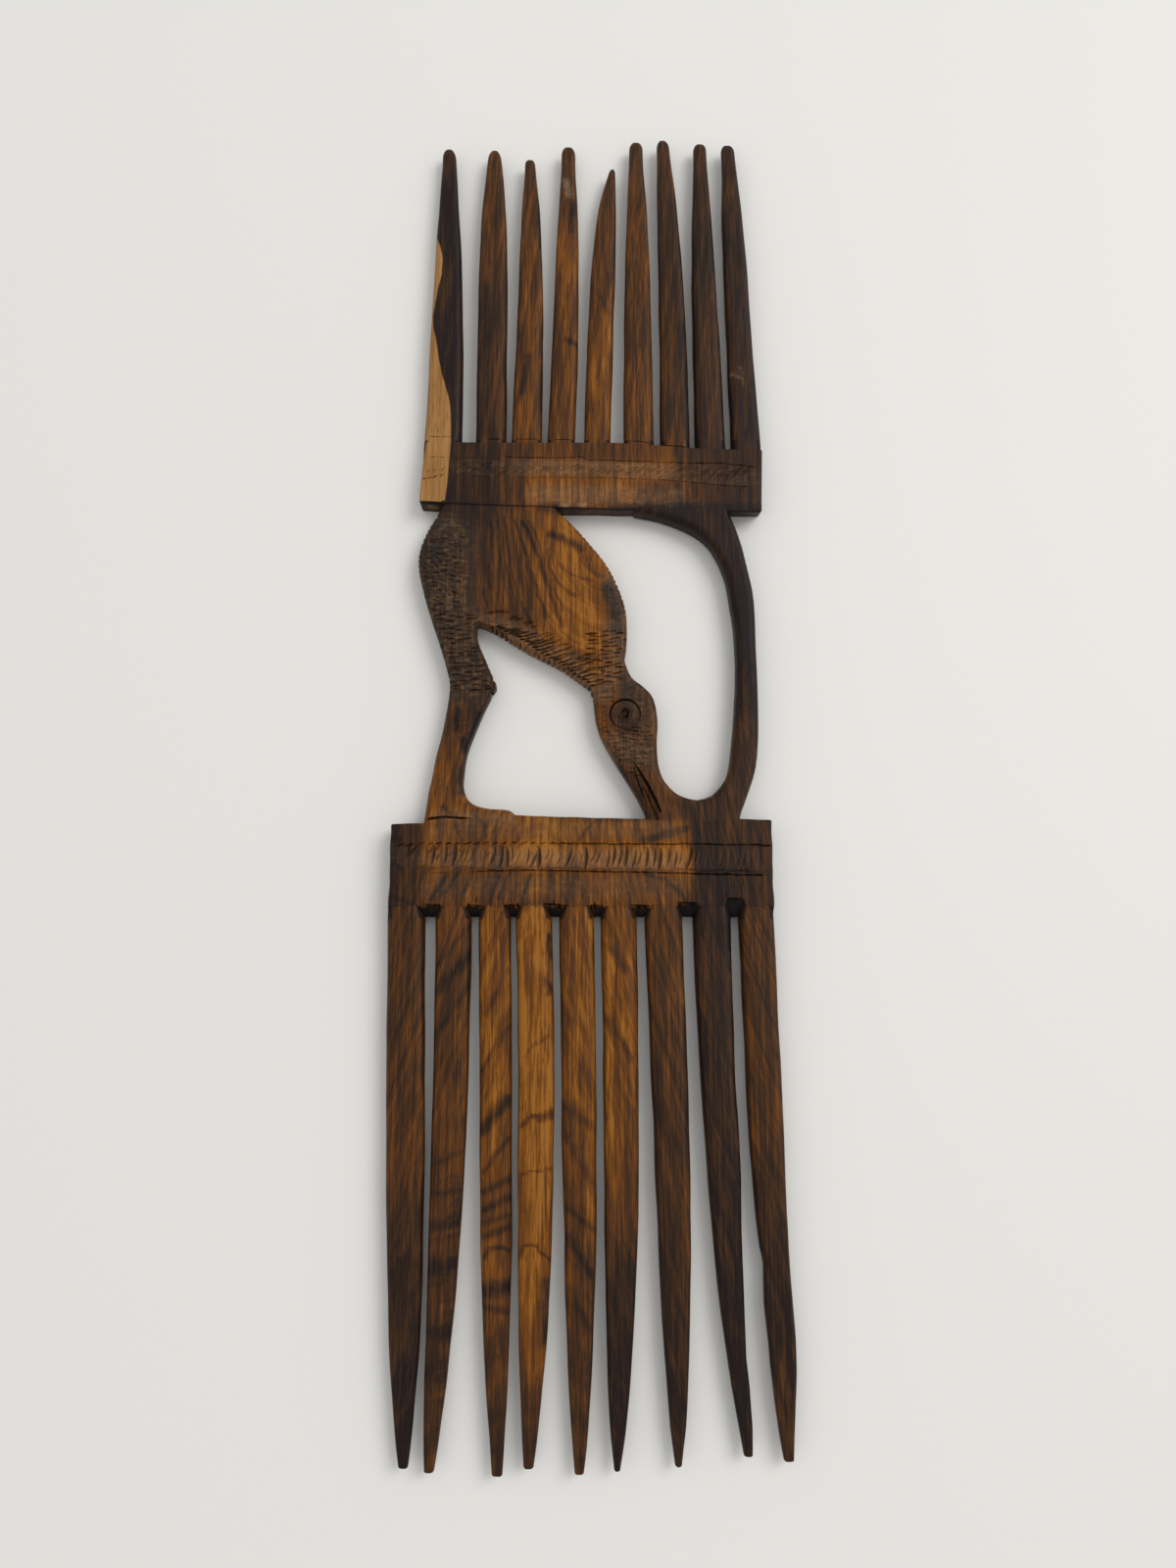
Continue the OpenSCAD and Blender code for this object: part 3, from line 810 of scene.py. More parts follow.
# %% The whittling tree
def whittling_tree():
    """Moves a surface along its normals by a stretched cell pattern and by fibres."""
    tree, wires = new_shape_tree("whittling", [
        ("Facet depth", "Float"), ("Facet width", "Float"), ("Facet length", "Float"),
        ("Fibre depth", "Float"), ("Seed", "Float"), ("Wood", "Material")])
    place = tree.node("GeometryNodeInputPosition")
    size = tree.node("ShaderNodeCombineXYZ", {},
                     [wires["Facet width"], wires["Facet length"], wires["Facet width"]])
    cell = tree.node("ShaderNodeVectorMath", {"operation": "DIVIDE"}, [place, size])
    shift = tree.node("ShaderNodeCombineXYZ", {}, [wires["Seed"], wires["Seed"], wires["Seed"]])
    cell = tree.node("ShaderNodeVectorMath", {"operation": "ADD"}, [cell, shift])
    facet = tree.node("ShaderNodeTexVoronoi", {}, {"Vector": cell, "Scale": 1}, out="Distance")
    fibres = tree.noise(tree.scaled(place, raised_fibre_scale), 3)
    push = (facet - facet_middle) * wires["Facet depth"] + fibres * wires["Fibre depth"]
    normal = tree.node("GeometryNodeInputNormal")
    offset = tree.node("ShaderNodeVectorMath", {"operation": "SCALE"},
                       {0: normal, "Scale": push})
    moved = tree.node("GeometryNodeSetPosition", {},
                      {"Geometry": wires["Geometry"], "Offset": offset})
    end_shape_tree(tree, moved, wires["Wood"])
    return tree


facet_depth, facet_width, facet_length, fibre_depth = 0.2, 4.5, 16, 0.05
facet_middle, raised_fibre_scale = 0.45, (1500, 60, 1500)
whittling = whittling_tree()
print("The whittling tree has", len(whittling.tree.nodes), "nodes")

# %% [markdown]
# ## Tones of the tines
# Each tine has four tones between its root and its tip. They are the shares of light and
# dark along the comb. The dark veins that cross the long tines in the middle are drawn as
# lines, and so are a few pale streaks.

# %% Tine tones
upper_tine_tones = [
    (.03, .05, .07, .10), (.26, .32, .36, .46), (.50, .48, .42, .42), (.48, .60, .42, .46),
    (.58, .54, .44, .34), (.46, .46, .46, .42), (.36, .30, .22, .32), (.21, .18, .15, .17),
    (.14, .15, .16, .17)]
lower_tine_tones = [
    (.30, .40, .15, .09), (.50, .36, .42, .24), (.68, .62, .48, .30), (.88, .98, .68, .28),
    (.68, .62, .40, .26), (.62, .64, .07, .04), (.46, .22, .20, .08), (.15, .20, .03, .05),
    (.34, .36, .12, .22)]
tone_shares = np.array([0, 0.4, 0.72, 1.0])
tine_veins = [
    (.24, 1.3, [(447, 1011), (480, 973)]), (.20, .7, [(446, 985), (477, 945)]),
    (.20, .7, [(444, 1058), (477, 1005)]), (.24, .8, [(496, 1035), (518, 991)]),
    (.24, .7, [(491, 1093), (518, 1049)]), (.46, 1.0, [(491, 1155), (519, 1122)]),
    (.30, .5, [(493, 1197), (518, 1162)]), (.28, .8, [(491, 1218), (521, 1203)]),
    (.28, .8, [(493, 1236), (521, 1221)]), (.22, .7, [(493, 1249), (521, 1240)]),
    (.28, .8, [(493, 1263), (519, 1253)]),
    (.34, .4, [(492, 1285), (499, 1276), (508, 1273), (519, 1276)]),
    (.34, 1.6, [(493, 1320), (521, 1312)]), (.24, .8, [(494, 1335), (518, 1340)]),
    (.42, .5, [(531, 1150), (544, 1139), (561, 1137)]), (.5, 1.0, [(553, 1141), (563, 1138)]),
    (.26, .4, [(530, 1200), (544, 1196), (561, 1194)]), (.34, .35, [(547, 1268), (552, 1280), (561, 1288)]),
    (.34, .35, [(530, 1283), (535, 1272), (546, 1272), (560, 1288)]),
    (.28, .4, [(534, 1079), (544, 1067), (560, 1058)]), (.5, .45, [(559, 955), (560, 1015)]),
    (.30, 1.2, [(557, 1310), (557, 1370)]), (.22, 1.3, [(575, 1128), (603, 1149)]),
    (.2, 1.0, [(577, 1159), (603, 1206)]), (.22, .8, [(577, 1232), (606, 1256)]),
    (.2, 1.1, [(579, 1262), (603, 1303)]), (.2, 1.1, [(583, 1315), (600, 1358)]),
    (.2, .9, [(618, 962), (641, 991)]), (.2, .9, [(619, 1038), (644, 1080)]),
    (.5, .5, [(743.5, 918), (745, 968)]),
    (.16, .7, [(770, 982), (782, 1035), (791, 1079)]), (.2, 1.4, [(760, 1300), (765, 1345)]),
    (.18, .7, [(441, 1190), (470, 1176)]), (.18, .6, [(442, 1220), (470, 1214)]),
    (.22, 1.3, [(440, 1254), (467, 1246)]), (.14, .7, [(438, 1268), (466, 1262)]),
    (.26, 2.2, [(437, 1296), (465, 1290)]), (.14, .9, [(436, 1314), (463, 1308)]),
    (.2, 1.8, [(434, 1362), (458, 1360)]), (.18, 2.2, [(432, 1404), (454, 1402)]),
    (-.16, .5, [(413, 1110), (407, 1180)]), (-.14, .5, [(773, 1140), (786, 1230), (792, 1290)]),
    (-.16, .9, [(797, 1380), (803, 1430)]), (-.2, .5, [(544, 1120), (546, 1330)]),
    (-.24, .9, [(505, 1292), (505, 1302)]), (.16, 1.5, [(496, 290), (494, 440)]),
    (.16, 1.4, [(696, 330), (702, 446)]), (.24, .5, [(549, 200), (551, 250)]),
    (.3, .8, [(578, 345), (590, 352)]), (.26, 1.0, [(583, 205), (582, 232)]),
    (.28, .9, [(540, 362), (532, 398)]), (.2, .6, [(612, 300), (622, 318)]),
    (-.14, .5, [(676, 250), (673, 300)]), (-.12, .5, [(752, 268), (754, 290)])]
root_lines_px = {
    1: [(437, 445.2), (461, 445.5)], 2: [(498, 448), (514, 448)], 3: [(523, 447.8), (548, 447.8)],
    4: [(565, 448.5), (586, 448.5)], 6: [(638, 450), (652, 450), (668, 453)],
    7: [(675, 454), (703, 456)]}
root_line_pitch, root_line_length, root_line_width = 1.3, 2.0, 0.34
root_line_depths = {"tine": 0.5, "bar": 0.3}
nicked_tine, nick_px = 9, (776.2, 1290)


def make_tine(side, number, tones, end_round):
    """Lofts, whittles, scores and colours one tine."""
    points, faces, (s, half_t, root, outward, length) = tine_shape(side, number, end_round)
    finish_name = finish_for(tones)
    tine = make_piece(f"{side}_tine_wood_{number}", points, faces)
    apply_tree(tine, whittling, {
        "Facet depth": facet_depth * MM, "Facet width": facet_width * MM,
        "Facet length": facet_length * MM, "Fibre depth": fibre_depth * MM,
        "Seed": float(number), "Wood": finishes[finish_name]})
    marks = []
    if side == "upper" and number in root_lines_px:
        score(marks, root_lines_px[number], root_line_pitch, root_line_length, root_line_width,
              root_line_depths["tine"])
    if side == "lower" and number == nicked_tine:
        stroke(marks, *on_face([nick_px])[0], turn=0.2, length=0.5, width=0.9, depth=through,
               tool=nick_tool)
    if marks:
        cut_marks(tine, finish_name, marks)
    settle(tine)
    now = points_of(tine.data)
    out = (now[:, 1] - root) * outward
    tone = np.interp(out / length, tone_shares, tones)
    depth = np.interp(out, s, half_t) - np.abs(now[:, 2] - middle_z)
    # Beyond the root the depth is stored below 0, so bevels and sides get the painted side shade and no cut
    # shade.
    colour_piece(tine, tone, np.where(out < 1, depth, -depth), tine_veins)
    finish(tine, [f"{side}_tine_{number}"])


def finish_for(tones):
    """The finish whose tone is nearest to the mean of a piece's tones."""
    mean = sum(tones) / len(tones)
    return "dark_heartwood" if mean < 0.25 else "brown_heartwood" if mean < 0.5 else "amber_heartwood"


print(len(tine_veins), "veins cross the tines")


# %% [markdown]
# ## Knife blades
# Every mark on the comb is one push of a small knife: a sliver of wood is gone that is
# pointed at both ends and deepest in the middle. So each mark is cut with a blade-shaped
# solid. A blade is one unit long, wide and deep, and is stretched where it is used. The
# deepest line lies off the middle, which gives a steep wall and a shallow one.

# %% Blades
def blade(name, bend, lean, stations=9, overrun=0.35):
    """A sliver along x, from -0.5 to 0.5, that reaches down to z = -1."""
    s = np.linspace(-1, 1, stations)[1:-1]
    size = np.sqrt(1 - s * s)
    y = bend * (1 - s * s)
    half_top = size * (1 + overrun) / 2
    top = np.full_like(s, overrun)
    rows = [np.stack([s / 2, y - half_top, top], 1), np.stack([s / 2, y + half_top, top], 1),
            np.stack([s / 2, y + size * lean / 2, -size], 1)]
    points = np.vstack([np.stack(rows, 1).reshape(-1, 3), [[-0.5, 0, overrun], [0.5, 0, overrun]]])
    faces = end_fans(len(s), 3)
    for a, b, c, d in loft_faces(len(s), 3):
        faces += [(a, b, c), (a, c, d)]
    return make_tool(name, points / MM, faces)


def notch_blade(name):
    """An upright wedge whose sharp edge points along +x, for nicks in an outline."""
    plan = [(-2, -1.5), (-2, 1.5), (1, 0)]
    points = [(x, y, z) for z in (-1, 1) for x, y in plan]
    faces = [(2, 1, 0), (3, 4, 5), (0, 1, 4, 3), (1, 2, 5, 4), (2, 0, 3, 5)]
    return make_tool(name, np.array(points) / MM, faces)


straight_blade = blade("straight_blade", 0.0, 0.5)
hooked_blade = blade("hooked_blade", 0.12, 0.5)
chip_blade = blade("chip_blade", 0.1, 0.85)
nick_blade = notch_blade("nick_blade")
print("Blades:", [tool.name for tool in (straight_blade, hooked_blade, chip_blade, nick_blade)])

# %% [markdown]
# ## A row of cuts
# The bands on the bars are rows of like cuts at one pitch. A Geometry Nodes tree lays the
# row out as a line of points, gives each point its own small turn, size and shift, sets a
# blade on each and takes them all from the wood at once. The solid Boolean solver keeps
# the wood closed.

# %% The row tree
def random_between(tree, kind, low, high, seed):
    """A random value for each point."""
    keys = {"FLOAT": ("Min_001", "Max_001", 1), "FLOAT_VECTOR": ("Min", "Max", 0)}[kind]
    group = tree.tree
    node = group.nodes.new("FunctionNodeRandomValue")
    node.data_type = kind
    for key, value in ((keys[0], low), (keys[1], high), ("Seed", seed)):
        socket = next(s for s in node.inputs if s.identifier == key)
        if isinstance(value, Wire):
            group.links.new(value.socket, socket)
        else:
            socket.default_value = value
    return Wire(tree, node.outputs[keys[2]])


def row_tree():
    """Takes a row of blades from a piece of wood."""
    tree, wires = new_shape_tree("row_of_cuts", [
        ("Blade", "Object"), ("Start", "Vector"), ("Step", "Vector"), ("Count", "Int"),
        ("Size", "Vector"), ("Turn", "Float"), ("Turn spread", "Float"), ("Size spread", "Float"),
        ("Place spread", "Vector"), ("Underside", "Float"),
        ("Seed", "Int"), ("Wood", "Material")])
    row = tree.node("GeometryNodeMeshLine", {"mode": "OFFSET"},
                    {"Count": wires["Count"], "Start Location": wires["Start"],
                     "Offset": wires["Step"]})
    less = tree.scaled(wires["Place spread"], (-1, -1, -1))
    shift = random_between(tree, "FLOAT_VECTOR", less, wires["Place spread"], wires["Seed"])
    row = tree.node("GeometryNodeSetPosition", {}, {"Geometry": row, "Offset": shift})
    turn = wires["Turn"] + random_between(
        tree, "FLOAT", wires["Turn spread"] * -1, wires["Turn spread"], wires["Seed"] + 1)
    angles = tree.node("ShaderNodeCombineXYZ", {}, [wires["Underside"] * math.pi, 0.0, turn])
    facing = tree.node("FunctionNodeEulerToRotation", {}, [angles])
    stretch = random_between(tree, "FLOAT", 1 - wires["Size spread"], 1 + wires["Size spread"],
                             wires["Seed"] + 2)
    size = tree.node("ShaderNodeVectorMath", {"operation": "SCALE"},
                     {0: wires["Size"], "Scale": stretch})
    tool = tree.node("GeometryNodeObjectInfo", {}, {"Object": wires["Blade"]}, out="Geometry")
    blades = tree.node("GeometryNodeInstanceOnPoints", {},
                       {"Points": row, "Instance": tool, "Rotation": facing, "Scale": size})
    cut_away(tree, wires, blades)
    return tree


row_of_cuts = row_tree()


def cut_row(piece, finish_name, start, end, pitch, size, turn, turn_spread, size_spread,
            place_spread, seed, blade_used=straight_blade):
    """Cuts a row from start to end into both faces of a bar, sizes in millimetres."""
    start, end = np.array(start, float), np.array(end, float)
    count = int(round((end[0] - start[0]) / pitch)) + 1
    step = (end - start) / (count - 1)
    for under in (0, 1):
        level = face_z * (1 - under)
        apply_tree(piece, row_of_cuts, {
            "Blade": blade_used, "Start": (start[0] * MM, start[1] * MM, level * MM),
            "Step": (step[0] * MM, step[1] * MM, 0.0), "Count": count,
            "Size": [length * MM for length in size], "Turn": turn * (1 - 2 * under),
            "Turn spread": turn_spread, "Size spread": size_spread,
            "Place spread": (place_spread[0] * MM, place_spread[1] * MM, 0.0),
            "Underside": float(under), "Seed": seed + 10 * under, "Wood": finishes[finish_name]})


print("The row tree has", len(row_of_cuts.tree.nodes), "nodes")


# %% [markdown]
# ## Marks at chosen places
# Scored lines, slips and feathers don't keep to one pitch. They are written down as a list
# of marks: a place, a turn, a length, a width, a depth and the blade that made it. A line
# is scored by walking along it and setting one mark after the other. The marks become a
# cloud of points with attributes, and a second tree sets the named blade on every point.
# Join Geometry lists what was linked last first, so the straight blade is number 0, the
# hooked one 1 and the upright nick 2.

# %% Marks
chance = np.random.default_rng(5)
straight_tool, hooked_tool, nick_tool = 0, 1, 2
through = 6.0


def stroke(marks, x, y, turn, length, width, depth, tool=straight_tool):
    """Adds one push of the knife to a list of marks."""
    marks.append((x, y, turn, length, width, depth, tool))


def spread(amount):
    """A random shift to either side."""
    return chance.uniform(-amount, amount)


def either_tool(hooked_share=0.5):
    """The hooked blade for a share of the strokes, and the straight one for the rest."""
    return hooked_tool if chance.uniform() < hooked_share else straight_tool


def along(line, pitch):
    """Places at one pitch along a line of points, with the line's direction."""
    line = np.asarray(line, float)
    steps = np.diff(line, axis=0)
    lengths = np.hypot(*steps.T)
    total = np.concatenate([[0], np.cumsum(lengths)])
    for distance in np.arange(pitch / 2, total[-1], pitch):
        k = min(np.searchsorted(total, distance) - 1, len(steps) - 1)
        share = (distance - total[k]) / lengths[k]
        yield line[k] + share * steps[k], math.atan2(steps[k][1], steps[k][0]), distance / total[-1]


def score(marks, line_px, pitch, length, width, depth, rise=0.0, wild=0.04):
    """Scores a line of pixels with strokes that overlap or leave gaps."""
    for place, heading, _ in along(on_face(line_px), pitch):
        stroke(marks, place[0] + spread(0.15), place[1] + spread(0.05), heading + rise + spread(wild),
               length * chance.uniform(0.8, 1.25), width * chance.uniform(0.8, 1.2),
               depth * chance.uniform(0.75, 1.25), either_tool())


def score_lines(marks, lines):
    """Scores lines of (spine in pixels, pitch, length, width, depth, rise, wildness)."""
    for line_px, *sizes in lines:
        score(marks, line_px, *sizes)


# %% The mark tree
def mark_tree():
    """Takes a blade from the wood at every point of a cloud."""
    tree, wires = new_shape_tree("knife_marks", [
        ("Marks", "Object"), ("Straight blade", "Object"), ("Hooked blade", "Object"),
        ("Nick blade", "Object"), ("Wood", "Material")])
    cloud = tree.node("GeometryNodeObjectInfo", {}, {"Object": wires["Marks"]}, out="Geometry")
    tools = [tree.node("GeometryNodeGeometryToInstance", {}, [
        tree.node("GeometryNodeObjectInfo", {}, {"Object": wires[name]}, out="Geometry")])
        for name in ("Nick blade", "Hooked blade", "Straight blade")]
    drawer = tree.node("GeometryNodeJoinGeometry", {}, {0: tools})
    number = tree.node("GeometryNodeInputNamedAttribute", {"data_type": "INT"}, ["blade"])
    turn = tree.node("GeometryNodeInputNamedAttribute", {"data_type": "FLOAT_VECTOR"}, ["turn"])
    size = tree.node("GeometryNodeInputNamedAttribute", {"data_type": "FLOAT_VECTOR"}, ["size"])
    facing = tree.node("FunctionNodeEulerToRotation", {}, [turn])
    blades = tree.node("GeometryNodeInstanceOnPoints", {},
                       {"Points": cloud, "Instance": drawer, "Pick Instance": True,
                        "Instance Index": number, "Rotation": facing, "Scale": size})
    cut_away(tree, wires, blades)
    return tree


knife_marks = mark_tree()


def bar_level(places):
    """Height of a bar's face at each place."""
    return np.full(len(places), face_z)


def cut_marks(piece, finish_name, marks, level_of=bar_level):
    """Cuts a list of marks into both faces of a piece."""
    rows = []
    for x, y, turn, length, width, depth, tool in marks:
        level = level_of(np.array([[x, y]]))[0]
        rows.append(((x, y, level), tool, (0, 0, turn), (length, width, depth)))
        if tool != nick_tool:
            rows.append(((x, y, face_z - level), tool, (math.pi, 0, -turn), (length, width, depth)))
    cloud = make_piece("marks", [row[0] for row in rows], [])
    tools, turns, sizes = [np.array([row[column] for row in rows], float) for column in (1, 2, 3)]
    for name, kind, key, values in (("blade", "INT", "value", tools.astype(np.int32)),
                                    ("turn", "FLOAT_VECTOR", "vector", turns.astype(np.float32)),
                                    ("size", "FLOAT_VECTOR", "vector", (sizes * MM).astype(np.float32))):
        layer = cloud.data.attributes.new(name, kind, "POINT")
        layer.data.foreach_set(key, values.ravel())
    scene.collection.objects.unlink(cloud)
    apply_tree(piece, knife_marks, {
        "Marks": cloud, "Straight blade": straight_blade, "Hooked blade": hooked_blade,
        "Nick blade": nick_blade, "Wood": finishes[finish_name]})
    print(piece.name, "gets", len(rows), "marks")


# %% [markdown]
# ## Making the tines
# The knife's marks are ready, so the tines can be made. Some short tines have a scored line
# across the root, where the saw cuts were set out.

# %% Make the tines
for number, tones in enumerate(upper_tine_tones, 1):
    make_tine("upper", number, tones, upper_end_rounds[number - 1])
for number, tones in enumerate(lower_tine_tones, 1):
    make_tine("lower", number, tones, lower_end_round)

# %% [markdown]
# ## Zones of the bars and the bird
# The bars and the bird run into each other without a joint, so their zones are blended at
# the two borders. The lower bar is dark at both ends and bright in the middle, with a
# near-black patch below the strut, and its veins are the ends of the arches in the tines.
# The bird's back and thigh are nearly black, its body turns amber towards the breast, and
# the head and strut are dark brown. The shank and foot are bright again.

# %% Zones of the lower bar
lower_bar_zones = [
    (.14, 1.2, [(402, 842), (399, 925)]), (.23, 1.8, [(418, 848), (420, 922)]),
    (.50, 2.6, [(445, 846), (500, 850)]), (.60, 2.2, [(440, 872), (500, 874)]),
    (.46, 2.4, [(445, 908), (490, 908)]), (.54, 3.6, [(520, 903), (660, 903)]),
    (.66, 3.0, [(520, 847), (640, 846)]), (.52, 1.8, [(650, 847), (695, 846)]),
    (.86, 2.4, [(520, 873), (690, 875)]), (.50, 1.6, [(662, 905), (690, 905)]),
    (.10, 2.8, [(720, 850), (735, 918)]), (.15, 2.0, [(755, 848), (757, 915)]),
    (.22, 1.5, [(780, 846), (780, 920)])]
lower_bar_veins = [
    (.30, .6, [(440, 917), (456, 894)]), (.26, .5, [(452, 914), (470, 886)]),
    (.22, .4, [(471, 914), (480, 897)]), (.30, .5, [(499, 923), (509, 894)]),
    (.26, .5, [(509, 917), (519, 891)]), (.30, .4, [(531, 923), (541, 893)]),
    (.20, .4, [(578, 920), (586, 896)]), (.26, .6, [(591, 857), (604, 840)]),
    (.26, .5, [(463, 838), (468, 850), (470, 860)]), (.24, .4, [(484, 832), (493, 842), (496, 855)]),
    (.30, .9, [(655, 858), (672, 853), (700, 846)]), (.24, .5, [(655, 890), (680, 898), (700, 918)]),
    (.22, .5, [(527, 845), (528, 856)]), (.2, .7, [(395, 857), (408, 857)]),
    (.2, .9, [(397, 880), (408, 886)]), (.16, .6, [(400, 916), (420, 922)]),
    # Painted shade: the next two long lines darken the band along its scored lines.
    (.13, .7, [(430, 886), (540, 885), (600, 886), (700, 888), (780, 890)]),
    (.10, .6, [(470, 862.5), (790, 864)]), (-.14, .9, [(700, 840), (704, 858)]),
    (-.12, .8, [(702, 872), (698, 905)]), (.2, 1.2, [(560, 885), (562, 892)]),
    (.16, .8, [(513, 880), (520, 890)]), (.16, .9, [(655, 882), (662, 890)])]

# %% Zones of the upper bar
upper_bar_zones = [
    (.12, 2.0, [(466, 455), (464, 515)]), (.17, 2.6, [(488, 458), (495, 515)]),
    (.34, 1.6, [(520, 480), (526, 512)]), (.34, 1.4, [(520, 458), (535, 460)]),
    (.44, 1.8, [(560, 458), (660, 463)]), (.66, 2.0, [(550, 479), (670, 482)]),
    (.72, 2.4, [(555, 502), (640, 505)]), (.44, 1.8, [(660, 500), (690, 505)]),
    (.22, 2.8, [(715, 470), (740, 510)]), (.17, 1.8, [(772, 472), (772, 518)])]
upper_bar_veins = [
    (.16, .5, [(537, 490), (545, 512)]), (.2, .35, [(610, 494), (612, 515)]),
    (.18, .4, [(646, 494), (647, 515)]), (.18, .5, [(668, 492), (670, 515)]),
    (.2, .8, [(690, 495), (694, 515)]), (-.16, .5, [(683, 495), (680, 516)]),
    (-.16, .5, [(711, 455), (707, 518)]), (-.12, .5, [(740, 496), (739, 514)]),
    (-.12, .5, [(462, 470), (462, 512)]), (-.14, .7, [(509, 465), (509, 508)]),
    # Painted shade: the first line below darkens the bar's lower edge where it meets the bird.
    (.3, 1.6, [(560, 517), (580, 519)]), (-.9, .35, [(575, 515), (578, 515)]),
    (-.8, .3, [(592, 514.8), (597, 514.6)])]

# %% Zones of the bird
bird_zones = [
    (.16, 3.2, [(470, 530), (440, 575), (450, 640), (485, 700)]), (.16, 1.9, [(478, 540), (482, 625)]),
    (.28, 1.8, [(493, 545), (495, 632)]), (.42, 1.9, [(508, 545), (512, 640)]),
    (.47, 2.0, [(527, 540), (538, 622)]), (.80, 3.0, [(562, 575), (590, 632)]),
    (.76, 1.8, [(582, 548), (612, 580)]), (.44, 1.4, [(623, 602), (633, 655)]),
    (.66, 1.8, [(515, 654), (575, 674), (605, 690)]), (.54, 1.6, [(612, 700), (616, 712)]),
    (.46, 1.4, [(608, 718), (622, 760)]), (.26, 1.6, [(648, 700), (662, 722)]),
    (.40, 1.6, [(662, 745), (655, 765)]), (.20, 1.6, [(636, 730), (646, 738)]),
    (.36, 1.4, [(630, 770), (645, 780)]), (.22, 1.6, [(640, 792), (664, 828)]),
    (.36, 1.4, [(668, 790), (682, 822)]), (.20, 1.8, [(700, 828), (728, 824)]),
    (.04, 2.8, [(700, 530), (750, 560), (762, 640), (760, 700)]),
    (.26, 2.0, [(760, 750), (750, 800)]), (.14, 1.6, [(745, 828), (762, 832)]),
    (.26, 1.2, [(468, 722), (482, 745)]), (.54, 1.8, [(458, 765), (447, 815)]),
    (.66, 1.4, [(465, 834), (515, 836)])]
bird_veins = [
    (.40, .5, [(534, 531), (546, 560), (554, 582), (566, 619), (574, 638)]),
    (.30, .4, [(526, 531), (537, 566), (545, 592), (558, 630)]),
    (.26, .3, [(540, 531), (549, 552), (560, 585), (574, 622)]),
    (.30, .35, [(558, 560), (561, 579), (571, 595), (587, 609)]),
    (.40, .9, [(561, 545), (575, 548), (593, 560)]), (.2, .8, [(595, 566), (612, 590)]),
    (.26, .35, [(571, 574), (585, 587), (604, 592)]), (.22, .3, [(566, 590), (580, 604), (592, 607)]),
    (.22, .4, [(515, 528), (519, 560), (520, 600)]), (.24, .5, [(502, 533), (500, 600)]),
    (.20, .3, [(509, 531), (510, 570), (508, 610)]), (.18, .3, [(522, 540), (530, 580), (536, 615)]),
    (.22, .4, [(493, 600), (498, 632)]), (.34, 1.6, [(620, 598), (628, 618), (628, 640)]),
    (.26, 1.1, [(585, 668), (600, 672)]), (.2, .6, [(536, 620), (552, 660)]),
    (.42, .8, [(472, 755), (477, 770), (470, 788), (470, 808)]),
    (.30, .6, [(466, 722), (466, 744)]), (.34, .6, [(487, 727), (478, 767)]),
    (.26, .7, [(452, 824), (457, 828)]), (.2, .5, [(462, 838), (466, 830)]),
    (-.12, .5, [(533, 545), (535, 600)]), (-.14, .4, [(758, 700), (754, 780)]),
    (-.16, .5, [(553, 545), (562, 575)]), (.16, .5, [(771, 640), (772, 760)]),
    (.14, 1.2, [(636, 770), (646, 774)]), (.14, 1.0, [(660, 742), (662, 765)])]
board_veins = lower_bar_veins + upper_bar_veins + bird_veins


def board_tone(places):
    """The tone of the bars and the bird, blended where one runs into the other."""
    y = places[:, 1]
    tone = zone_tone(places, bird_zones)
    tone += (zone_tone(places, lower_bar_zones) - tone) * blend(-y, 18.0, 20.4)
    return tone + (zone_tone(places, upper_bar_zones) - tone) * blend(y, 47.0, 48.6)


print(len(board_veins), "veins on the bars and the bird")

# %% [markdown]
# ## The bars
# A bar is a slab with soft edges. A box of small cells gets them from one formula: every
# point is pulled onto a ball around the nearest point of a smaller box. The cells are
# small because the slab is then bent: its upper edge isn't straight, and the lower
# bar runs out in a wedge between its tines, where the saw cuts end.

# %% A slab with soft edges
def soft_slab(name, low, high, radius, cell):
    """A closed slab of small cells with rounded edges."""
    low, high = np.array(low, float), np.array(high, float)
    counts = np.maximum(2, np.round((high - low) / cell).astype(int))
    grids = [np.linspace(low[k], high[k], counts[k] + 1) for k in range(3)]
    points, faces = [], []
    for axis in range(3):
        u, v = [k for k in range(3) if k != axis]
        grid_u, grid_v = np.meshgrid(grids[u], grids[v], indexing="ij")
        for level in (low[axis], high[axis]):
            sheet = np.empty((grid_u.size, 3))
            sheet[:, u], sheet[:, v], sheet[:, axis] = grid_u.ravel(), grid_v.ravel(), level
            base, rows = sum(map(len, points)), len(grids[v])
            points.append(sheet)
            corner = base + np.add.outer(np.arange(counts[u]) * rows, np.arange(counts[v])).ravel()
            faces += np.stack([corner, corner + rows, corner + rows + 1, corner + 1], 1).tolist()
    points = np.vstack(points)
    inner = np.clip(points, low + radius, high - radius)
    gap = points - inner
    points = inner + gap * (radius / np.linalg.norm(gap, axis=1))[:, None]
    slab = make_piece(name, points, faces)
    outward_faces(slab.data)
    return slab


def thin_board(shape, factor):
    """Thins a board towards its middle, by a factor at each point."""
    shape[:, 2] = middle_z + (shape[:, 2] - middle_z) * factor


# %% The lower bar
slab_cell = 0.32
face_wave = 0.012
lower_low, lower_high = [np.array(corner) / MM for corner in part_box("lower_bar")]
lower_edge_round = 0.45
side_ripple, edge_ripple, notch_ripple = 0.12, 0.07, 0.42
wedge_y, wedge_thickness, wedge_curve, wedge_end = -38.05, 0.78, 0.8, 0.06
step_y = -36.3
notch_top_y = -34.2
high_notches = [(19.6, 1.5, 0.6), (28.9, 1.4, 1.5)]
lower_edge_px = [
    (395, 840.5), (431, 839.5), (437, 838), (520, 831.5), (527, 831.5), (600, 834), (662, 835.5),
    (756, 835.5), (790, 836)]
lower_bar = soft_slab("lower_bar_wood", (lower_low[0], wedge_y, 0),
                      (lower_high[0], lower_high[1], face_z), lower_edge_round, slab_cell)
shape = points_of(lower_bar.data)
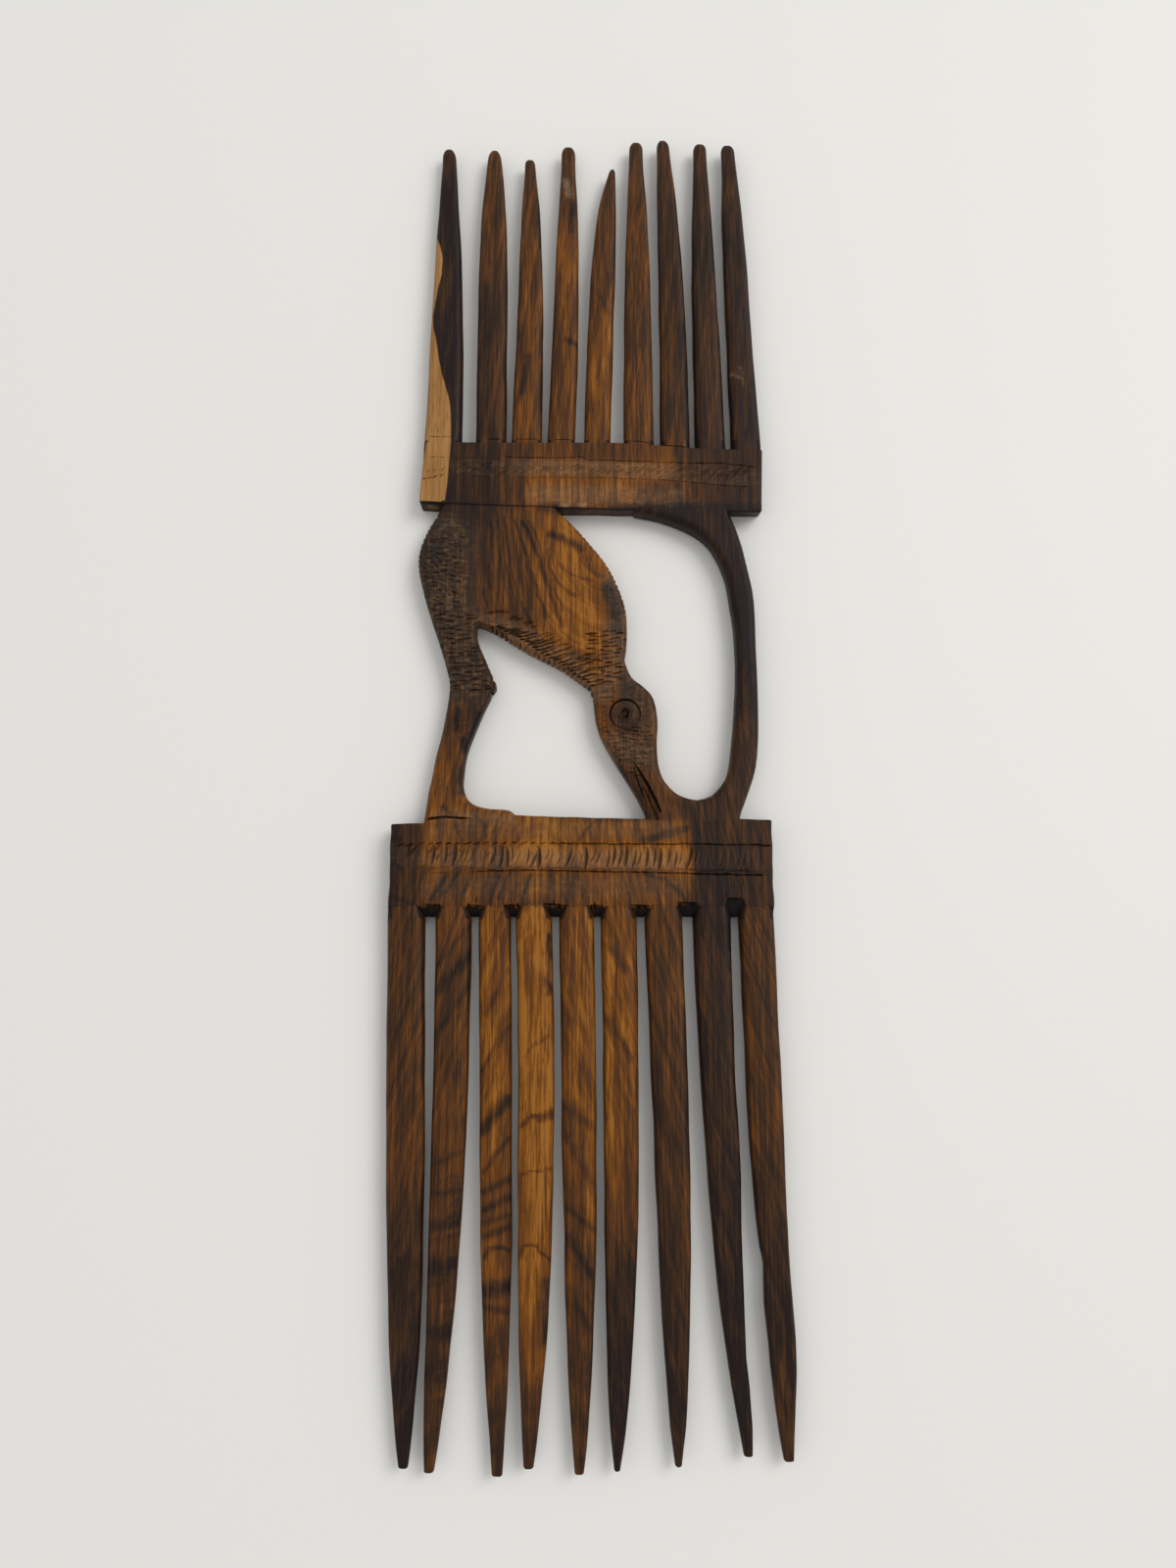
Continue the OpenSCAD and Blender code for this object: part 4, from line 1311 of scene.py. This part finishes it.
edge_x, edge_y = on_face(lower_edge_px).T
rise = np.interp(shape[:, 0], edge_x, edge_y) - lower_high[1]
shape[:, 1] += rise * blend(shape[:, 1], -22.0, lower_high[1])
shape[:, 0] += side_ripple * ripple(shape[:, 1], 1.0, 9) * np.sign(shape[:, 0])
shape[:, 1] += edge_ripple * ripple(shape[:, 0], 3.0, 11) * blend(shape[:, 1], -23, lower_high[1])
ragged = step_y + notch_ripple * ripple(shape[:, 0], 4.0, 1.7)
for notch_x, notch_half, higher in high_notches:
    ragged += higher * (1 - blend(np.abs(shape[:, 0] - notch_x), notch_half, notch_half + 0.6))
fall = np.clip((ragged - shape[:, 1]) / (ragged - wedge_y), 0, 1)
thin = np.where(fall > 0, wedge_thickness * (1 - fall) ** wedge_curve + wedge_end, 1.0)
wave = 1 + face_wave * ripple(shape[:, 0] + 0.6 * shape[:, 1], 5.0, 13)
thin_board(shape, thin * np.minimum(wave, 1))
move_points(lower_bar.data, shape)
print("Lower bar:", len(lower_bar.data.polygons), "cells")

# %% [markdown]
# The lower bar has two scored lines and a row of slanted, leaf-shaped chips between them.
# On the left the upper line is a row of short dashes that rise to the right, and on the
# right it is one fine line. Above each slot the knife overshot, and left a ragged cut.

# %% Cuts in the lower bar
brown = "brown_heartwood"
chip_turn = 1.36 - math.pi
cut_row(lower_bar, brown, (-30.5, -26.3), (20.6, -26.75), 1.3, (4.4, 1.2, 0.36), turn=chip_turn,
        turn_spread=0.24, size_spread=0.32, place_spread=(0.32, 0.45), seed=11, blade_used=chip_blade)
cut_row(lower_bar, brown, (22.0, -26.8), (33.4, -26.9), 1.4, (4.2, 0.8, 0.16), turn=chip_turn,
        turn_spread=0.17, size_spread=0.3, place_spread=(0.25, 0.3), seed=14, blade_used=chip_blade)
cut_row(lower_bar, brown, (-35.0, -25.6), (-18.0, -25.8), 1.2, (2.2, 0.6, 0.24),
        turn=1.2, turn_spread=0.4, size_spread=0.3, place_spread=(0.3, 0.8), seed=12)
cut_row(lower_bar, brown, (-33.0, -28.7), (33.0, -29.4), 1.1, (1.7, 0.34, 0.13),
        turn=0.25, turn_spread=0.3, size_spread=0.3, place_spread=(0.3, 0.3), seed=13)
cut_row(lower_bar, brown, (-35.0, -33.0), (33.0, -33.0), 3.4, (2.6, 0.26, 0.07),
        turn=1.3, turn_spread=0.3, size_spread=0.5, place_spread=(1.6, 2.2), seed=51)
lower_lines = [
    ([(404, 863), (430, 861), (520, 860.5), (600, 861)], 1.85, 1.7, 0.46, 0.32, 0.28, 0.08),
    ([(560, 861), (640, 861.4), (720, 861.4), (786, 862.8)], 2.3, 3.3, 0.4, 0.36),
    ([(398, 864), (432, 862)], 2.2, 2.2, 0.3, 0.12), ([(430, 891), (490, 890)], 2.4, 3.0, 0.26, 0.1),
    ([(485, 889.5), (540, 888.3), (592, 889.3), (640, 890.3), (700, 891.6), (776, 893.3)],
     2.0, 2.9, 0.46, 0.38)]
lower_marks = []
score_lines(lower_marks, lower_lines)
print(len(lower_marks), "strokes score its lines")

# %% Slot ends
overshoots_px = [
    [(430, 923), (453, 924.5)], [(477, 924), (494, 925)], [(514, 923.5), (532, 924.5)],
    [(551, 922), (583, 925)], [(598, 924.5), (617, 924.5)], [(641, 923.5), (666, 925)],
    [(688, 921.5), (715, 921.5)], [(740, 917), (760, 918)]]
cuts_above_slot = 5
for cut_px in overshoots_px:
    (x0, y0), (x1, y1) = on_face(cut_px)
    middle_x, middle_y = (x0 + x1) / 2, (y0 + y1) / 2
    stroke(lower_marks, middle_x, middle_y, math.atan2(y1 - y0, x1 - x0), x1 - x0, 0.5, 0.5)
    for k in range(cuts_above_slot):
        upright = math.pi / 2 if k > 1 else 0
        stroke(lower_marks, middle_x + spread(1.4), step_y - 0.3 + spread(0.4), upright + spread(0.7),
               chance.uniform(1.2, 2.4), 0.5, 0.9, k % 2)
stroke(lower_marks, *on_face([(486, 918)])[0], 1.4, 1.6, 0.4, 0.3)
stroke(lower_marks, *on_face([(565, 921)])[0], 1.2, 1.2, 0.35, 0.3)
cut_marks(lower_bar, brown, lower_marks)
settle(lower_bar)

# %% Colour of the lower bar
places = points_of(lower_bar.data)
tone = board_tone(places[:, :2])
sunk = middle_z - np.abs(places[:, 2] - middle_z)
# Painted shade: the slot ends are painted darker the deeper they lie, and their cut depth is capped.
shaded_notch = blend(-places[:, 1], -notch_top_y - 0.2, -notch_top_y + 0.4)
tone -= shaded_notch * (0.3 * blend(sunk, 0.35, 0.6) + 0.3 * blend(sunk, 0.8, 1.4))
notch_depth = 0.24 + 0.14 * ripple(places[:, 0] + places[:, 1], 2.0, 1.3)
depth = sunk * 0.75 + shaded_notch * (np.minimum(sunk, notch_depth) - sunk * 0.75)
colour_piece(lower_bar, tone, depth, board_veins)
finish(lower_bar, ["lower_bar"])

# %% [markdown]
# ## The upper bar
# The upper bar is made in the same way. It sits a little askew: its upper edge and all its
# lines droop to the right, its left end leans, because the board was split there and not
# sawn, and its lower end face was undercut. So the slab is stretched between two edges.

# %% The upper bar
upper_low, upper_high = [np.array(c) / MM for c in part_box("upper_bar")]
upper_edge_round = 0.4
upper_bar = soft_slab("upper_bar_wood", upper_low, (upper_high[0], upper_high[1], face_z),
                      upper_edge_round, slab_cell)
shape = points_of(upper_bar.data)
x, y, z = shape.T
front_low_x = [-35, -27, -15, 0, 12, 20, 36]
front_low_y = [48.0, 47.7, 47.2, 46.7, 46.4, 46.2, 45.9]
front_low = np.interp(x, front_low_x, front_low_y)
back_low = np.interp(x, [-35, -27, -15, 0, 15, 36], [48.2, 47.7, 47.3, 47.2, 47.0, 47.0])
low = back_low + (front_low - back_low) * z / face_z + edge_ripple * ripple(x, 7.0, 12)
high = np.interp(x, [-36, 6, 14.5, 22.3, 30, 36], [61.8, 61.7, 61.1, 60.45, 60.15, 60.1])
share = (y - upper_low[1]) / (upper_high[1] - upper_low[1])
shape[:, 1] = low + share * (high - low)
left_end = np.interp(shape[:, 1], [47.5, 49.7, 56.3, 62], [-34.85, -34.85, -34.4, -33.8])
right_end = upper_high[0] + np.interp(shape[:, 1], [48, 61], [0.0, 0.5])
shape[:, 0] += (left_end - upper_low[0]) * blend(-x, 10, -upper_low[0])
shape[:, 0] += (right_end - upper_high[0]) * blend(x, 10, upper_high[0])
wave = 1 + face_wave * ripple(shape[:, 0] - 0.4 * shape[:, 1], 2.0, 12)
thin_board(shape, np.minimum(wave, 1))
move_points(upper_bar.data, shape)
print("Upper bar:", len(upper_bar.data.polygons), "cells")

# %% [markdown]
# Its two lines were only scored lightly, and the band between them is feathered with many
# shallow, slanted strokes.

# %% Cuts in the upper bar
cut_row(upper_bar, brown, (-27.0, 55.6), (34.0, 54.3), 0.98, (2.6, 0.5, 0.16),
        turn=0.62, turn_spread=0.22, size_spread=0.3, place_spread=(0.4, 0.9), seed=81,
        blade_used=hooked_blade)
cut_row(upper_bar, brown, (-26.5, 55.2), (34.0, 53.9), 1.15, (1.8, 0.46, 0.15),
        turn=0.95, turn_spread=0.3, size_spread=0.3, place_spread=(0.5, 1.1), seed=82)
cut_row(upper_bar, brown, (-27.0, 56.4), (34.0, 55.2), 1.6, (1.7, 0.4, 0.13),
        turn=0.3, turn_spread=0.3, size_spread=0.4, place_spread=(0.6, 0.5), seed=83)
upper_lines = [
    ([(462, 467.5), (518, 467.5)], 2.6, 2.8, 0.26, 0.1),
    ([(516, 466.5), (560, 467.3), (592, 467), (600, 469.5), (641, 470.6), (700, 472.6), (735, 472.8),
      (768, 476.4)], 2.1, 2.5, 0.36, 0.21),
    ([(462, 486), (530, 487)], 2.6, 2.6, 0.26, 0.09),
    ([(528, 487.2), (600, 487.5), (641, 488.5), (690, 491), (737, 495.5), (768, 497)],
     2.1, 2.4, 0.34, 0.17),
    ([(430, 489), (440, 487.5), (455, 483.5)], 1.2, 1.2, 0.4, 0.3, 0.0, 0.7),
    ([(434, 481), (456, 479)], 1.4, 1.0, 0.3, 0.2, 0.0, 0.9),
    ([(438, 466), (456, 467.5)], 1.7, 1.4, 0.3, 0.2, 0.0, 0.5)]
upper_marks = []
score_lines(upper_marks, upper_lines)
for line_px in root_lines_px.values():
    score(upper_marks, line_px, root_line_pitch, root_line_length, root_line_width,
          root_line_depths["bar"])
score(upper_marks, [(500, 502), (760, 500)], 5.0, 1.6, 0.22, 0.06, rise=1.4, wild=0.3)
cut_marks(upper_bar, brown, upper_marks)
settle(upper_bar)

# %% [markdown]
# Its left end is sapwood. On the lower face there, the end grain shows as a pale lens with
# a dark outline.

# %% Colour of the upper bar
end_grain_x, end_grain_w, end_grain_h = -32.3, 2.6, 2.2
places = points_of(upper_bar.data)
x, y, z = places.T
above_edge = y - np.interp(x, front_low_x, front_low_y)
# Painted shade: the lower end face, below the front edge, is painted darker.
underside_shade = 1 - blend(above_edge, 0.0, 0.35)
tone = board_tone(places[:, :2]) - 0.3 * underside_shade
lens = np.hypot((x - end_grain_x) / end_grain_w, (z - middle_z) / end_grain_h)
bare = (above_edge > 0.3) | (lens < 0.62)
colour_piece(upper_bar, tone, middle_z - np.abs(z - middle_z), board_veins,
             sap=np.where(bare, sap_at(places[:, :2]), outside_sap))
finish(upper_bar, ["upper_bar"])

# %% [markdown]
# ## The bird
# The bird, its leg and the strut are one run of wood, though the frame holds them as nine
# solids that meet face to face. A voxel remesh melts the nine into one skin and rounds
# their edges as handling did, and a few rounds of smoothing finish that. Where the wood
# runs on into a bar, the ends are first drawn into it, so that no joint shows.

# %% One skin from nine solids
bird_nodes = ["body", "thigh", "shank", "foot", "head", "beak", "loop_foot", "side_strut",
              "strut_shoulder"]
figure_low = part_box("foot")[0].y / MM
figure_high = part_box("body")[1].y / MM
skin_cell = 0.31
drawn_low, drawn_high = 1.6, 2.4
skin_rub, skin_rubs = 0.5, 9


def joined_skin(name, nodes):
    """One object from copies of several nodes, with its ends drawn into the bars."""
    loose = bmesh.new()
    for node in nodes:
        loose.from_mesh(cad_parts[node].data)
    for vertex in loose.verts:
        y = vertex.co.y / MM
        if y < figure_low + 0.02:
            vertex.co.y -= drawn_low * MM
        if y > figure_high - 0.02:
            vertex.co.y += drawn_high * MM
    bmesh.ops.remove_doubles(loose, verts=loose.verts, dist=1e-6)
    mesh = bpy.data.meshes.new(name)
    loose.to_mesh(mesh)
    loose.free()
    piece = bpy.data.objects.new(name, mesh)
    scene.collection.objects.link(piece)
    return piece


bird = joined_skin("bird_carving", bird_nodes)
melt = bird.modifiers.new("melt", "REMESH")
melt.mode = "VOXEL"
melt.voxel_size = skin_cell * MM
rub = bird.modifiers.new("rub", "SMOOTH")
rub.factor = skin_rub
rub.iterations = skin_rubs
settle(bird)
print("Skin:", len(bird.data.polygons), "cells")

# %% [markdown]
# The frame holds the bird a little below the bars' faces. On the real comb that step is
# there only at the bird's back and body. The foot, the beak and the strut run on level
# with the bars, so the skin is raised there, on both faces.

# %% Raise the skin where it runs on
carved_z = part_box("body")[1].z / MM
level_z = face_z + 0.01


def face_level(places):
    """Height of the bird's face above the table at each place."""
    x, y = places.T
    strut = blend(x, 9.0, 14.0) * blend(y, 34, 42) + blend(x, 15.5, 20.0) * (1 - blend(y, 34, 42))
    feet = blend(-y, -figure_low - 4.5, -figure_low - 0.6)
    above, below = y - figure_high, figure_low - y
    inside_bar = blend(above, 0.5, 1.5) + blend(below, 0.7, 1.6)
    return carved_z + (level_z - carved_z) * np.maximum(strut, feet) * (1 - inside_bar)


shape = points_of(bird.data)
lift = (face_level(shape[:, :2]) - middle_z) / (carved_z - middle_z)
thin_board(shape, lift)
move_points(bird.data, shape)
print("The skin is raised by up to", round((lift.max() - 1) * (carved_z - middle_z), 2), "mm")

# %% [markdown]
# ## Feather strokes
# The feathers are short, shallow pushes of the knife in rows: almost level on the leg and
# thigh, slanting up from the belly, level again on the throat and, very fine, on the face.
# Each row follows the outline, so the rows are laid out in Python as lists of marks.

# %% Rows of feathers
feathers = []


def span_at(node, y):
    """The left and right edge of a node at height y."""
    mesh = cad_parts[node].data
    corners = points_of(mesh)
    ends = np.array([edge.vertices[:] for edge in mesh.edges])
    a, b = corners[ends[:, 0]], corners[ends[:, 1]]
    crossing = (a[:, 1] - y) * (b[:, 1] - y) < 0
    a, b = a[crossing], b[crossing]
    x = a[:, 0] + (y - a[:, 1]) / (b[:, 1] - a[:, 1]) * (b[:, 0] - a[:, 0])
    return x.min(), x.max()


def hatch(rows, left_right, length, turn, gap=0.15, width=0.5, depth=0.14, wild=0.12, wave=0.3):
    """Rows of strokes, each from the left edge to the right edge of its row."""
    for y in rows:
        left, right = left_right(y)
        x = left + length * chance.uniform(-0.2, 0.5)
        bend = chance.uniform(0, 6)
        while x < right:
            size = length * chance.uniform(0.6, 1.4)
            stroke(feathers, x, y + wave * math.sin(0.9 * x + bend), turn + spread(wild), size,
                   width * chance.uniform(0.7, 1.3), depth * chance.uniform(0.7, 1.3),
                   either_tool())
            x += size * (1 - gap) + spread(0.2)


print("The thigh is", np.ptp(span_at("thigh", 20.0)).round(1), "mm wide at its middle")

# %% Leg, thigh and back
def leg_span(y):
    return span_at("thigh", y) if y > 9 else (-27.4, -18.5)


hatch(np.arange(7.4, 24.0, 0.98), leg_span, 2.2, 0.03, width=0.6, depth=0.24, wild=0.12)
hatch(np.arange(7.0, 24.0, 1.9), leg_span, 1.3, 0.1, gap=-0.5, width=0.5, depth=0.16, wild=0.3)
hatch(np.arange(24.2, 41.0, 1.06), lambda y: (span_at("thigh", y)[0], -26.2 + 0.03 * (y - 22)),
      1.5, -0.2, gap=0.0, width=0.6, depth=0.22, wild=0.35)
hatch(np.arange(41.0, 46.0, 1.5), lambda y: (span_at("thigh", y)[0], -26.5), 1.4, -0.2, gap=-0.3,
      depth=0.07, wild=0.3)
hatch(np.arange(23.5, 36.0, 1.5), lambda y: (-26.0, -22.0), 1.2, 0.2, gap=-0.3, width=0.36,
      depth=0.07, wild=0.5)

# %% Belly, throat and neck
belly_px = [(489, 640), (505, 641), (525, 648), (550, 664), (580, 684), (606, 702)]
for place, _, share in along(on_face(belly_px), 1.0):
    turn = np.interp(share, [0, 0.25, 0.6, 1], [0.02, 0.2, 0.42, 0.3]) + spread(0.07)
    length = np.interp(share, [0, 0.3, 0.7, 1], [3.0, 4.6, 5.6, 4.2]) * chance.uniform(0.6, 1.15)
    ahead = 0.44 * length
    stroke(feathers, place[0] + ahead * math.cos(turn), place[1] + ahead * math.sin(turn), turn, length,
           0.66 * chance.uniform(0.8, 1.2), 0.36 * chance.uniform(0.7, 1.2), either_tool(0.6))
for place, _, share in along(on_face(belly_px) + np.array([1.4, 3.2]), 1.15):
    turn = np.interp(share, [0, 0.5, 1], [0.12, 0.4, 0.25]) + spread(0.15)
    stroke(feathers, place[0] + spread(0.8), place[1] + spread(0.6), turn, chance.uniform(1.8, 3.8), 0.46,
           0.22, either_tool(0.4))
for place, _, _ in along(on_face(belly_px) + np.array([0.6, 1.1]), 1.3):
    stroke(feathers, place[0] + spread(0.4), place[1] + spread(0.4), 0.2 + spread(0.25),
           chance.uniform(1.0, 2.0), 0.3, 0.12, either_tool(0.4))
hatch(np.arange(9.4, 20.0, 0.92),
      lambda y: (np.interp(y, [8, 12, 19], [3.4, 0.0, 1.2]), np.interp(y, [8, 12, 19], [6.6, 7.6, 8.0])),
      2.2, 0.07, gap=0.05, width=0.55, depth=0.3, wild=0.2)
hatch(np.arange(5.0, 9.4, 1.05), lambda y: (3.2, 6.4), 1.8, 0.35, width=0.34, depth=0.12, wild=0.25)
for place, heading, _ in along(on_face(belly_px) + np.array([0.1, 0.35]), 1.0):
    stroke(feathers, place[0] + spread(0.2), place[1] + spread(0.15), heading + 0.75 + spread(0.3),
           chance.uniform(1.6, 2.4), 0.55, 0.5, either_tool())

# %% Breast edge and face
breast_px = [(573, 533), (590, 550), (606, 572), (620, 592), (632, 615), (638, 640), (638, 655)]
for place, heading, _ in along(on_face(breast_px), 1.1):
    turn = heading - math.pi / 2 + 0.5 + spread(0.25)
    stroke(feathers, place[0] - 0.7, place[1] - 0.2, turn, chance.uniform(1.0, 1.8), 0.36, 0.11)
hatch(np.arange(-10.2, 0.2, 0.82),
      lambda y: (np.interp(y, [-10, 0], [6.8, 3.4]), np.interp(y, [-10, 0], [12.4, 12.8])),
      1.5, 0.03, gap=0.0, width=0.46, depth=0.18, wild=0.22, wave=0.25)
cheek_px = [(612, 720), (614, 745), (620, 765), (632, 788), (650, 812)]
for place, _, _ in along(on_face(cheek_px), 1.0):
    stroke(feathers, place[0] + 0.7, place[1] + 0.3, 0.7 + spread(0.25), chance.uniform(1.0, 1.9),
           0.36, 0.13)
crown_px = [(648, 698), (662, 715), (669, 745), (668, 770)]
for place, _, _ in along(on_face(crown_px), 1.2):
    stroke(feathers, place[0] - 1.1, place[1], 0.3 + spread(0.35), chance.uniform(1.0, 2.2), 0.34, 0.08)

# %% Toe crease
score(feathers, [(438, 836.2), (450, 834.2), (462, 834.2), (478, 836.6)], 1.0, 2.8, 0.66, 0.62, wild=0.02)
print(len(feathers), "strokes on each face")

# %% [markdown]
# ## Nicks in the outline
# Where the rows of feathers reach the edge, they leave it toothed. A nick is an upright
# wedge, set on the outline where a ray from outside first meets the wood. Each line below
# has the open air on its left.

# %% Nicks
nicked_px = {
    "back": [(456, 705), (447, 675), (438, 645), (430, 610), (427, 580), (433, 555), (446, 535),
             (464, 522)],
    "leg": [(490, 650), (497, 670), (500, 690), (510, 703)],
    "belly": [(607, 708), (580, 690), (550, 670), (525, 653), (500, 644)],
    "breast": [(580, 534), (595, 548), (612, 570), (630, 600), (641, 630), (643, 660)]}
nick_pitch, nick_length, nick_width = 1.12, 0.62, 0.7
tree_of_faces = BVHTree.FromPolygons(
    [tuple(p) for p in points_of(bird.data)], [tuple(f.vertices) for f in bird.data.polygons])
for spine in nicked_px.values():
    for place, heading, _ in along(on_face(spine), nick_pitch):
        outward = Vector((-math.sin(heading), math.cos(heading), 0))
        start = Vector((place[0], place[1], middle_z)) + outward * 3
        hit = tree_of_faces.ray_cast(start, -outward, 8)[0]
        if hit:
            inward = math.atan2(-outward.y, -outward.x)
            stroke(feathers, hit.x + spread(0.1), hit.y + spread(0.1), inward + spread(0.25),
                   nick_length * chance.uniform(0.5, 1.3), nick_width * chance.uniform(0.7, 1.2),
                   through, nick_tool)
print(sum(one[-1] == nick_tool for one in feathers), "nicks")


# %% [markdown]
# ## The eye and the mouth
# The eye is a fine ring cut around a drilled pupil. The ring is deepest at the upper left,
# where the knife went in, and almost runs out below. The mouth is two furrows that part
# towards the beak's tip. These few cuts are solids of their own.

# %% Eye and mouth cutters
eye_px, eye_radius = (638, 728.3), 3.0
pupil_px, pupil_radius = (638.6, 729), 0.72
halo_radius = 1.12
mouth_px = [(646.5, 776.5), (651.5, 785), (660, 799.5), (668, 815), (674, 829)]
mouth_widths = np.array([0.2, 0.75, 1.05, 1.1, 0.8])
mouth_depths = np.array([0.15, 0.6, 0.75, 0.75, 0.5])
lip_px = [(645.4, 778), (649, 791), (654, 805), (659.5, 819), (664.5, 831)]
lip_widths = np.array([0.15, 0.5, 0.6, 0.6, 0.4])
lip_depths = np.array([0.1, 0.4, 0.45, 0.45, 0.3])

ring_entry = math.radians(105)
above_wood = 0.2


def eye_ring(centre, radius, deepest, widest, least, around=72):
    """A V-shaped ring, deepest at its upper left; least is its depth's share opposite."""
    angle = np.linspace(0, 2 * math.pi, around, endpoint=False)
    share = least + (1 - least) * (0.5 + 0.5 * np.cos(angle - ring_entry)) ** 0.8
    rows = []
    for k in range(3):
        r = radius + np.array([-1, 1, 0.2])[k] * widest * share / 2 * (1.4 if k < 2 else 1)
        z = 0.4 * deepest * share if k < 2 else -deepest * share
        rows.append(np.stack([centre[0] + r * np.cos(angle), centre[1] + r * np.sin(angle), z], 1))
    return np.stack(rows, 1).reshape(-1, 3), loft_faces(around, 3, ring=True)


def drill(centre, radius, depth, around=40):
    """A drilled hole with a point at its bottom."""
    angle = np.linspace(0, 2 * math.pi, around, endpoint=False)
    x, y = centre
    rings = [(radius * 1.1, above_wood), (radius * 0.95, -0.35 * depth), (radius * 0.5, -0.8 * depth)]
    rows = [np.stack([x + r * np.cos(angle), y + r * np.sin(angle), np.full(around, z)], 1)
            for r, z in rings]
    points = np.vstack(rows + [[[x, y, above_wood]], [[x, y, -depth]]])
    return points, loft_faces(len(rings), around) + end_fans(len(rings), around)


def gouge(line, widths, depths, lean):
    """A wedge-shaped furrow along a line of points."""
    steps = np.gradient(line, axis=0)
    side = np.stack([-steps[:, 1], steps[:, 0]], 1) / np.hypot(*steps.T)[:, None]
    n = len(line)
    top = np.full(n, above_wood)
    rows = [np.hstack([line + side * (across * widths / 2)[:, None], z[:, None]])
            for across, z in ((-1, top), (1, top), (lean, -depths))]
    ends = [(0, 1, 2), (3 * n - 1, 3 * n - 2, 3 * n - 3)]
    return np.stack(rows, 1).reshape(-1, 3), ends + loft_faces(n, 3)


def two_sided(name, shapes):
    """One cutter object from shapes on the front, each repeated on the back."""
    points, faces = [], []
    for shape_points, shape_faces in shapes:
        for under in (False, True):
            base = sum(map(len, points))
            now = shape_points.copy()
            level = face_level(now[:, :2])
            now[:, 2] = face_z - level - now[:, 2] if under else level + now[:, 2]
            points.append(now)
            faces += [tuple(base + i for i in face) for face in shape_faces]
    return make_tool(name, np.vstack(points), faces)


eye, pupil = on_face([eye_px, pupil_px])
face_cuts = two_sided("face_cuts", [
    eye_ring(eye, eye_radius, 0.6, 0.64, 0.14), eye_ring(pupil, halo_radius, 0.2, 0.44, 0.5),
    drill(pupil, pupil_radius, 1.3), gouge(on_face(mouth_px), mouth_widths, mouth_depths, 0.3)])
lip_cut = two_sided("lip_cut", [gouge(on_face(lip_px), lip_widths, lip_depths, -0.2)])
print("Eye, halo, pupil and mouth:", len(face_cuts.data.polygons), "faces on both sides")


# %% [markdown]
# ## Cutting the bird
# The feathers are cut by the tree for marks, and the eye and mouth by the tree for rows, as
# a row of one.

# %% Cut the bird
def skin_level(places):
    """Height of the uncut skin at each place, also where its edge is rounded."""
    hits = [tree_of_faces.ray_cast((x, y, 2 * face_z), (0, 0, -1))[0] for x, y in places]
    return [level_z if hit is None else hit.z for hit in hits]


dark = "dark_heartwood"
cut_marks(bird, dark, feathers, skin_level)
for cutter in (face_cuts, lip_cut):
    apply_tree(bird, row_of_cuts, {
        "Blade": cutter, "Start": (0.0, 0.0, 0.0), "Step": (0.0, 0.0, 0.0), "Count": 1,
        "Size": (1.0, 1.0, 1.0), "Turn": 0.0, "Turn spread": 0.0, "Size spread": 0.0,
        "Place spread": (0.0, 0.0, 0.0), "Underside": 0.0, "Seed": 1, "Wood": finishes[dark]})
settle(bird)

# %% [markdown]
# How deep a stroke is can be measured: it is the distance from the uncut skin.

# %% Colour of the bird
places = points_of(bird.data)
sunk = middle_z - np.abs(places[:, 2] - middle_z)
# Painted shade: deep on the walls, the tone is lowered a little.
tone = board_tone(places[:, :2]) - 0.1 * blend(sunk, 1.0, 2.4)
depth = np.array([tree_of_faces.find_nearest(place)[3] for place in places])
colour_piece(bird, tone, depth, board_veins, sap=np.full(len(places), outside_sap))
finish(bird, bird_nodes, crease=30)

# %% [markdown]
# ## Clearing up
# The blades and cutters, which only the trees used, are removed.

# %% Finish
for helper in (straight_blade, hooked_blade, chip_blade, nick_blade, face_cuts, lip_cut):
    bpy.data.objects.remove(helper)
